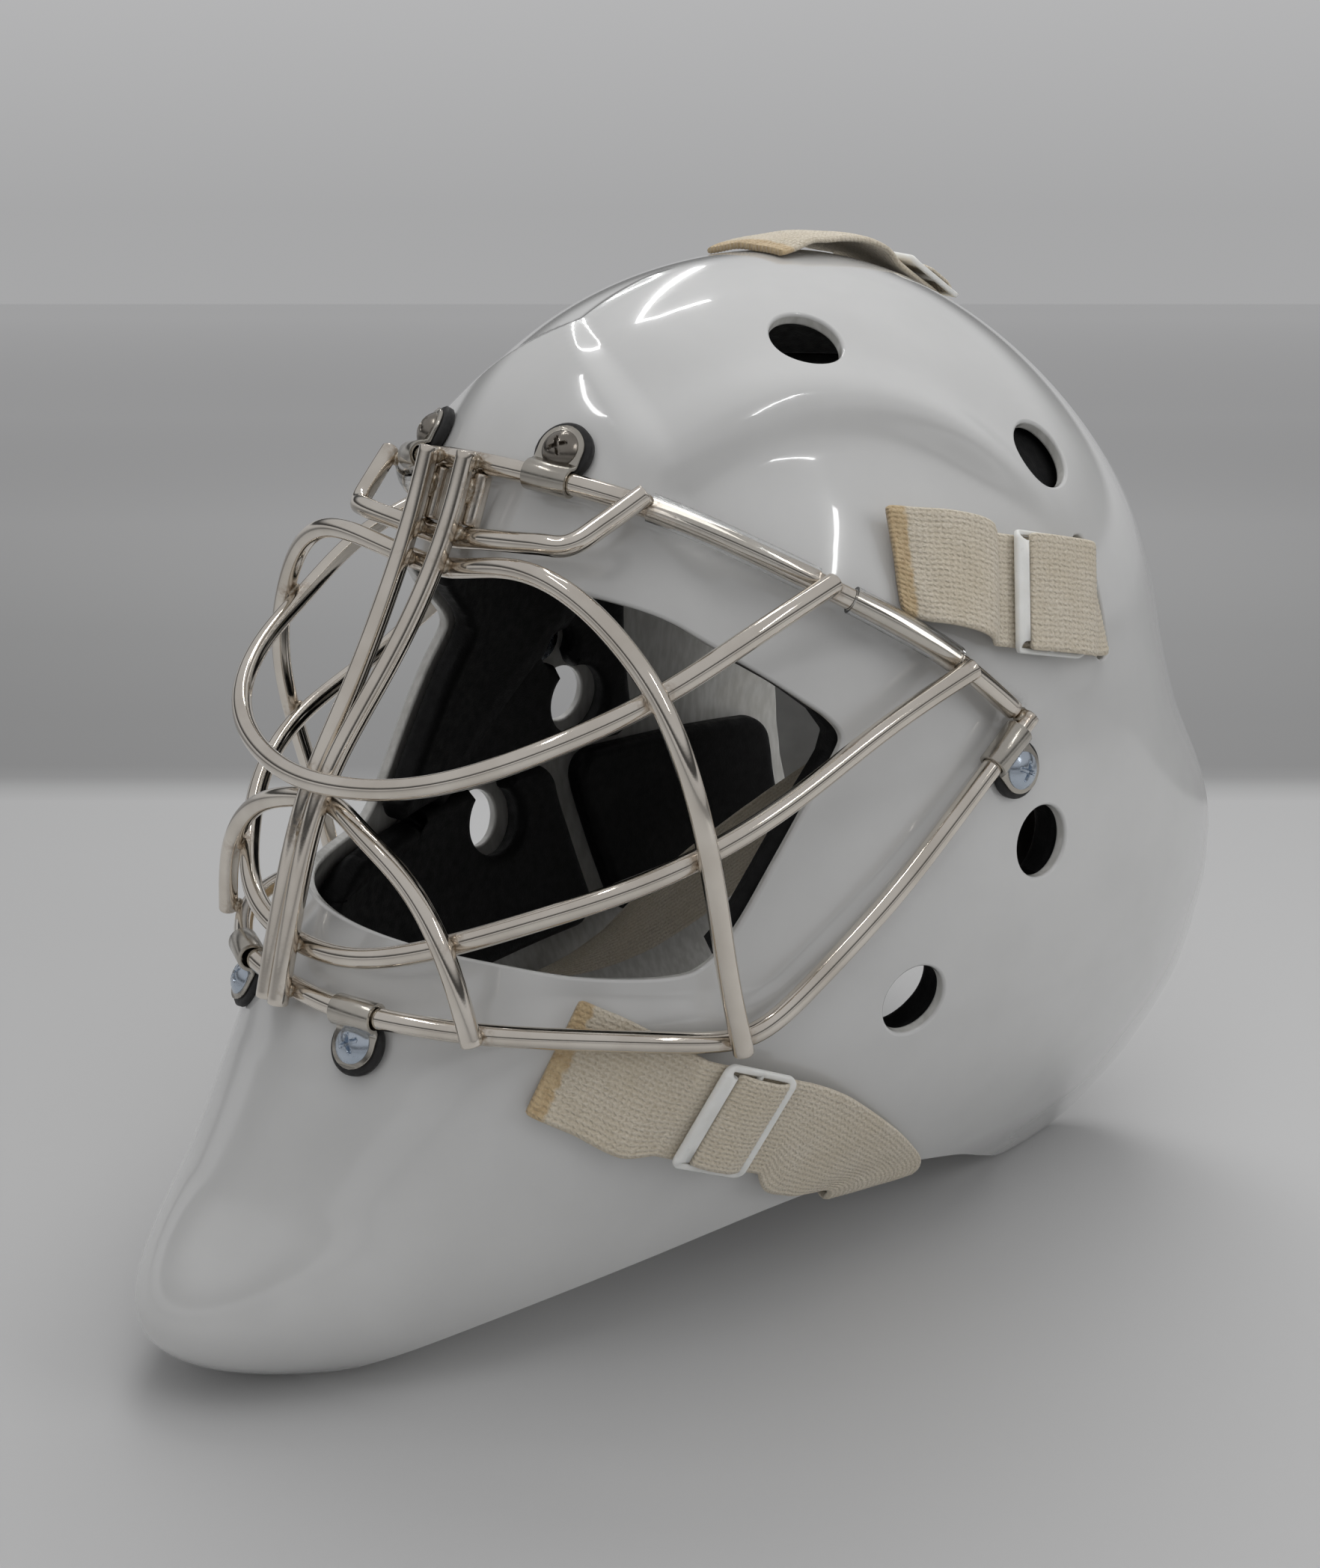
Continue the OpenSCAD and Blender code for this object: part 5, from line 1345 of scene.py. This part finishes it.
# Materials
class Nodes:
    """Short names for building one material."""

    def __init__(self, name):
        self.material = bpy.data.materials.new(name)
        self.material.use_nodes = True
        self.tree = self.material.node_tree
        self.tree.nodes.clear()
        self.out = self.tree.nodes.new("ShaderNodeOutputMaterial")
        self.shader = self.tree.nodes.new("ShaderNodeBsdfPrincipled")
        self.link(self.shader.outputs[0], self.out.inputs["Surface"])

    def link(self, a, b):
        self.tree.links.new(a, b)

    def set(self, **values):
        for key, value in values.items():
            self.shader.inputs[key.replace("_", " ")].default_value = value
        return self

    def node(self, kind, **settings):
        made = self.tree.nodes.new(kind)
        for key, value in settings.items():
            setattr(made, key, value)
        return made

    def value(self, socket, x):
        if hasattr(x, "is_output"):
            self.link(x, socket)
        else:
            socket.default_value = x

    def math(self, operation, a, b=0.0):
        m = self.node("ShaderNodeMath", operation=operation)
        self.value(m.inputs[0], a)
        self.value(m.inputs[1], b)
        return m.outputs[0]

    def mix(self, factor, a, b):
        m = self.node("ShaderNodeMix", data_type="RGBA")
        self.value(m.inputs[0], factor)
        self.value(m.inputs[6], a)
        self.value(m.inputs[7], b)
        return m.outputs[2]

    def place(self, scale=1.0, stretch=(1, 1, 1)):
        c = self.node("ShaderNodeTexCoord")
        m = self.node("ShaderNodeMapping")
        m.inputs["Scale"].default_value = tuple(scale * s for s in stretch)
        self.link(c.outputs["Object"], m.inputs["Vector"])
        return m.outputs[0]

    def noise(self, scale, detail=3.0, stretch=(1, 1, 1), rough=0.5):
        n = self.node("ShaderNodeTexNoise")
        n.inputs["Scale"].default_value = 1.0
        n.inputs["Detail"].default_value = detail
        n.inputs["Roughness"].default_value = rough
        self.link(self.place(scale, stretch), n.inputs["Vector"])
        return n.outputs["Fac"]

    def cells(self, scale):
        n = self.node("ShaderNodeTexVoronoi", feature="F1")
        n.inputs["Scale"].default_value = 1.0
        self.link(self.place(scale), n.inputs["Vector"])
        return n.outputs["Distance"]

    def ramp(self, x, low, high, a=0.0, b=1.0):
        m = self.node("ShaderNodeMapRange")
        self.value(m.inputs[0], x)
        for i, number in enumerate((low, high, a, b)):
            m.inputs[i + 1].default_value = number
        return m.outputs[0]

    def attribute(self, name):
        a = self.node("ShaderNodeAttribute", attribute_name=name)
        return a.outputs["Fac"]

    def bump(self, height, distance, strength):
        b = self.node("ShaderNodeBump")
        b.inputs["Strength"].default_value = strength
        b.inputs["Distance"].default_value = distance
        self.link(height, b.inputs["Height"])
        old = self.shader.inputs["Normal"]
        if old.is_linked:
            self.link(old.links[0].from_socket, b.inputs["Normal"])
        self.link(b.outputs[0], old)

    def feed(self, name, socket):
        self.link(socket, self.shader.inputs[name])


def rgb(r, g, b):
    """A colour written as it should show, from 0 to 255."""
    def linear(c):
        c /= 255.0
        return c / 12.92 if c <= 0.04045 else ((c + 0.055) / 1.055) ** 2.4
    return linear(r), linear(g), linear(b), 1.0


def laminate():
    """A glossy coat outside, and the bare weave on the inside."""
    m = Nodes("laminate").set(Coat_Weight=1.0, Coat_Roughness=0.035, Coat_IOR=1.5, IOR=1.5)
    depth = m.attribute("depth")
    inner = m.ramp(depth, 0.1, 0.35)
    mottle = m.noise(28, 4)
    outer = m.mix(m.ramp(mottle, 0.35, 0.65), rgb(199, 199, 198), rgb(204, 204, 203))
    weave = m.noise(420, 2, (1, 1, 0.25))
    wall = m.mix(m.ramp(weave, 0.35, 0.65), rgb(196, 195, 190), rgb(214, 213, 209))
    m.feed("Base Color", m.mix(inner, outer, wall))
    m.feed("Roughness", m.ramp(inner, 0, 1, 0.16, 0.5))
    m.bump(m.noise(240, 2), 0.00002, 0.06)
    m.bump(m.noise(34, 2), 0.0004, 0.03)
    return m.material


def wire_metal(name, colour_a, colour_b, rough, tint=True):
    """Plated steel, which may be tinted near its welds."""
    m = Nodes(name).set(Metallic=1.0, IOR=1.5)
    base = m.mix(m.ramp(m.noise(60, 3), 0.35, 0.65), colour_a, colour_b)
    if tint:
        weld = m.attribute("weld")
        patchy = m.math("MULTIPLY", weld, m.ramp(m.noise(700, 3), 0.3, 0.65))
        base = m.mix(m.ramp(patchy, 0.1, 0.9, 0.0, 0.55), base, rgb(150, 126, 98))
        m.feed("Roughness", m.ramp(patchy, 0, 1, rough, rough + 0.2))
    else:
        m.feed("Roughness", m.ramp(m.noise(900, 2), 0.3, 0.7, rough * 0.8, rough * 1.3))
    m.feed("Base Color", base)
    m.bump(m.noise(1500, 2), 0.00002, 0.25)
    return m.material


def weld_metal():
    m = Nodes("weld_bead").set(Metallic=1.0)
    m.feed("Base Color", m.mix(m.ramp(m.noise(900, 3), 0.35, 0.65), rgb(150, 132, 108), rgb(205, 196, 182)))
    m.feed("Roughness", m.ramp(m.noise(1200, 2), 0.3, 0.7, 0.22, 0.42))
    m.bump(m.noise(900, 3), 0.0002, 0.5)
    return m.material


def foam():
    m = Nodes("foam").set(IOR=1.45, Specular_IOR_Level=0.3)
    cells = m.cells(1400)
    m.feed("Base Color", m.mix(m.ramp(m.noise(160, 4), 0.3, 0.7), rgb(4, 4, 5), rgb(11, 11, 12)))
    m.feed("Roughness", m.ramp(m.noise(300, 2), 0.3, 0.7, 0.5, 0.68))
    m.bump(cells, 0.00025, 0.35)
    m.bump(m.noise(90, 3), 0.0006, 0.2)
    return m.material


def rubber():
    m = Nodes("rubber").set(IOR=1.5)
    m.feed("Base Color", m.mix(m.ramp(m.noise(400, 3), 0.3, 0.7), rgb(18, 18, 19), rgb(34, 33, 33)))
    m.feed("Roughness", m.ramp(m.noise(700, 2), 0.3, 0.7, 0.42, 0.62))
    m.bump(m.noise(1500, 2), 0.0001, 0.3)
    return m.material


# The length of a stitch, and how far the sealed end reaches along the strap, in metres
STITCH, SEALED = 0.0019, (0.0044, 0.0054)


def elastic():
    """Knitted elastic: soft ribs along it, uneven stitches across each rib, and a sealed tan end."""
    m = Nodes("elastic").set(IOR=1.4, Sheen_Weight=0.3, Sheen_Roughness=0.5)
    u, s = m.attribute("across"), m.attribute("along")
    lumps = m.noise(420, 3)
    fuzz = m.noise(1500, 5, rough=0.65)
    sway = m.math("MULTIPLY", m.math("SUBTRACT", lumps, 0.5), 5.0)
    rib = m.math("SINE", m.math("ADD", m.math("MULTIPLY", u, 2 * math.pi * RIBS / (STRAP_W * MM)), sway))
    turn = m.math("MULTIPLY", s, 2 * math.pi / STITCH)
    stitch = m.math("SINE", m.math("ADD", turn, m.math("ADD", m.math("MULTIPLY", rib, 1.6), sway)))
    height = m.math("ADD", m.math("MULTIPLY", stitch, 0.25), m.math("MULTIPLY", fuzz, 2.2))
    height = m.math("ADD", height, m.math("MULTIPLY", rib, 0.5))
    ragged = m.math("MULTIPLY", m.math("SUBTRACT", lumps, 0.5), 0.003)
    tan = m.ramp(m.math("ADD", s, ragged), *SEALED, 1.0, 0.0)
    # Painted shade: the cream darkens in the grooves between the ribs and stitches, where the bump is low,
    # and the fuzz adds random tone
    shade = m.math("ADD", m.math("MULTIPLY", stitch, 0.10), m.math("MULTIPLY", rib, 0.16))
    shade = m.math("ADD", shade, m.math("MULTIPLY", m.math("SUBTRACT", fuzz, 0.5), 1.8))
    cream = m.mix(m.ramp(shade, -0.6, 0.45), rgb(188, 174, 150), rgb(244, 235, 218))
    cream = m.mix(m.ramp(m.noise(60, 3), 0.35, 0.7, 0.0, 0.35), cream, rgb(212, 197, 168))
    sealed = m.mix(m.ramp(m.math("ADD", lumps, m.math("SUBTRACT", fuzz, 0.5)), 0.2, 0.8), rgb(192, 164, 124),
                   rgb(226, 203, 162))
    m.feed("Base Color", m.mix(tan, cream, sealed))
    m.feed("Roughness", m.ramp(tan, 0, 1, 0.9, 0.6))
    m.bump(height, 0.0004, 0.85)
    m.bump(lumps, 0.0005, 0.5)
    return m.material


def moulding(name, a, b, rough, subsurface=0.0):
    """A moulded plastic."""
    m = Nodes(name).set(IOR=1.48, Subsurface_Weight=subsurface, Subsurface_Radius=(1.0, 0.9, 0.8),
                        Subsurface_Scale=0.003)
    m.feed("Base Color", m.mix(m.ramp(m.noise(120, 3), 0.35, 0.65), a, b))
    m.feed("Roughness", m.ramp(m.noise(500, 2), 0.3, 0.7, rough * 0.85, rough * 1.2))
    m.bump(m.noise(1400, 2), 0.00006, 0.25)
    return m.material


def clear():
    m = Nodes("clear_sleeve").set(Transmission_Weight=1.0, IOR=1.38, Base_Color=rgb(246, 247, 247))
    m.feed("Roughness", m.ramp(m.noise(300, 3), 0.35, 0.7, 0.04, 0.14))
    m.bump(m.noise(150, 2), 0.0003, 0.3)
    return m.material


MATERIALS = {}


def make_materials():
    MATERIALS.update(
        laminate=laminate(),
        wire=wire_metal("wire", rgb(222, 214, 203), rgb(236, 229, 219), 0.09),
        weld=weld_metal(),
        clip=wire_metal("clip_steel", rgb(182, 177, 168), rgb(204, 199, 190), 0.2, tint=False),
        nickel=wire_metal("dark_nickel", rgb(128, 122, 114), rgb(150, 144, 136), 0.2, tint=False),
        zinc=wire_metal("zinc", rgb(186, 197, 210), rgb(208, 217, 228), 0.22, tint=False),
        foam=foam(), rubber=rubber(), elastic=elastic(), clear=clear(),
        slide=moulding("slide_plastic", rgb(226, 226, 222), rgb(236, 236, 233), 0.32, 0.3),
        plate=moulding("plate_plastic", rgb(222, 222, 220), rgb(232, 232, 230), 0.35))


# The back plate, which is carried over from the CAD
PLATE_BEVEL = 1.0


def dress_plate():
    """Its material, and softened edges."""
    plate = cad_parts["back_plate"]
    plate.data.materials.clear()
    plate.data.materials.append(MATERIALS["plate"])
    plate.data.polygons.foreach_set("use_smooth", np.ones(len(plate.data.polygons), bool))
    weld = plate.modifiers.new("weld", "WELD")
    weld.merge_threshold = 0.00001
    edge = plate.modifiers.new("edge", "BEVEL")
    edge.width = PLATE_BEVEL * MM
    edge.segments = 3
    edge.limit_method = "ANGLE"
    edge.angle_limit = math.radians(35)
    edge.harden_normals = True
    edge.use_clamp_overlap = True


# Stage and light
FLOOR_REACH, FLOOR_Z = 6000.0, -0.05
# Painted shade and light: tones of the floor by the share of its reach, away from the camera, dark in a band
# just behind the object and paler with distance
FLOOR_SHADE_TONES = ((0.0, 189), (0.0725, 182), (0.0765, 152), (0.082, 143), (0.102, 146), (0.142, 157),
               (0.228, 188), (0.40, 215), (0.85, 235), (1.0, 236))
# Brightness of the world by the upward part of a direction
WORLD_TONES = ((0.0, 0.385), (0.12, 0.47), (0.17, 0.05), (0.26, 0.06), (0.40, 0.44), (1.0, 0.46))
WORLD_BLUE = 1.01


def set_stops(ramp, stops):
    """Places and colours of a colour ramp."""
    while len(ramp.elements) < len(stops):
        ramp.elements.new(0.5)
    for element, (at, colour) in zip(ramp.elements, stops):
        element.position = at
        element.color = colour


def level(direction):
    """A direction laid level."""
    return Vector((direction[0], direction[1], 0)).normalized()


def shaded_floor_material():
    """The floor, with painted shade and light: darkest from a line behind the object and paler again with
    distance.
    """
    m = Nodes("painted_shade_floor").set(Roughness=0.9, IOR=1.4, Specular_IOR_Level=0.1)
    c = m.node("ShaderNodeTexCoord")
    run = m.node("ShaderNodeVectorMath", operation="DOT_PRODUCT")
    m.link(c.outputs["Object"], run.inputs[0])
    run.inputs[1].default_value = level(CAMERA_AHEAD)
    ramp = m.node("ShaderNodeValToRGB")
    m.link(m.ramp(run.outputs["Value"], 0.0, FLOOR_REACH * MM), ramp.inputs[0])
    set_stops(ramp.color_ramp, [(at, rgb(tone, tone, tone)) for at, tone in FLOOR_SHADE_TONES])
    m.feed("Base Color", ramp.outputs[0])
    return m.material


def add_stage():
    """A floor square to the camera."""
    ahead, aside = level(CAMERA_AHEAD), level(CAMERA_RIGHT)
    points = []
    for d, side in ((-1, -1), (-1, 1), (1, 1), (1, -1)):
        p = FLOOR_REACH * (d * ahead + side * aside)
        points.append((p.x, p.y, FLOOR_Z))
    floor = mesh_object("floor", points, [(0, 1, 2, 3)], body=None, material=shaded_floor_material())


# Soft lamps, which no gloss shows: place, what it is turned to, size and power
LAMPS = {
    "rear_top": ((-0.45, 0.50, 1.30), (0, 0, 0.2), (1.0, 1.0), 8.2),
    "overhead": ((0.25, -0.15, 1.35), (0, 0, 0.15), (0.9, 0.9), 3.0),
    "side_fill": ((1.25, 0.75, 0.70), (0, 0, 0.15), (0.8, 0.9), 4.6),
    "front_fill": ((0.55, -1.50, 0.80), (0, 0, 0.15), (1.0, 0.8), 2.3)}
# Thin tubes round the crown that draw crisp lines on it: a run of points, and a strength
STRIPS = (
    (((-0.55, 0.49, 0.68), (-0.42, 0.15, 1.06)), 0.8),
    (((-0.31, 0.36, 1.05), (-0.36, 0.20, 1.08), (-0.42, 0.14, 1.06)), 0.9),
    (((-0.35, -0.26, 1.055), (-0.24, -0.39, 1.06), (-0.13, -0.47, 1.05)), 0.9),
    (((0.61, 0.18, 0.95), (0.70, 0.09, 0.87), (0.79, 0.01, 0.75)), 1.0))
STRIP_W, STRIP_POWER, STRIPS_FACE = 0.02, 45.0, (0.02, 0.0, 0.29)


def rectangle_lamp(name, size, power):
    data = bpy.data.lights.new(name, "AREA")
    data.shape = "RECTANGLE"
    data.size, data.size_y = size
    data.energy = power
    lamp = bpy.data.objects.new(name, data)
    scene.collection.objects.link(lamp)
    return lamp


def strip_lamp(name, a, b, strength):
    """A thin lamp from A to B that faces the crown and shows only in gloss."""
    a, b = Vector(a), Vector(b)
    middle, long = (a + b) / 2, (b - a).length
    along = (b - a).normalized()
    back = middle - Vector(STRIPS_FACE)
    back = (back - back.dot(along) * along).normalized()
    lamp = rectangle_lamp(name, (long, STRIP_W), strength * STRIP_POWER * long * STRIP_W)
    turn = Matrix((along, back.cross(along), back)).transposed()
    lamp.matrix_world = Matrix.Translation(middle) @ turn.to_4x4()
    lamp.visible_diffuse = False


def add_light():
    """A grey studio of soft lamps, whose world is dark in a band that the shell mirrors."""
    world = bpy.data.worlds.new("studio")
    scene.world = world
    world.use_nodes = True
    tree = world.node_tree
    back = tree.nodes["Background"]
    places = tree.nodes.new("ShaderNodeTexCoord")
    split = tree.nodes.new("ShaderNodeSeparateXYZ")
    ramp = tree.nodes.new("ShaderNodeValToRGB")
    tree.links.new(places.outputs["Generated"], split.inputs[0])
    tree.links.new(split.outputs[2], ramp.inputs[0])
    tree.links.new(ramp.outputs[0], back.inputs["Color"])
    set_stops(ramp.color_ramp, [(at, (tone, tone, tone * WORLD_BLUE, 1.0)) for at, tone in WORLD_TONES])
    back.inputs["Strength"].default_value = 1.0
    for name, (at, to, size, power) in LAMPS.items():
        lamp = rectangle_lamp(name, size, power)
        lamp.location = at
        lamp.rotation_euler = (Vector(to) - Vector(at)).to_track_quat("-Z", "Y").to_euler()
        lamp.visible_glossy = False
    for i, (run, strength) in enumerate(STRIPS):
        for k in range(len(run) - 1):
            strip_lamp(f"strip_{i}_{k}", run[k], run[k + 1], strength)


# The scene
scene.view_settings.view_transform = "Standard"
make_materials()
add_camera()
add_shell()
add_cage()
add_fasteners()
add_sleeves()
add_liner()
add_back_pad()
add_straps()
dress_plate()
add_stage()
add_light()
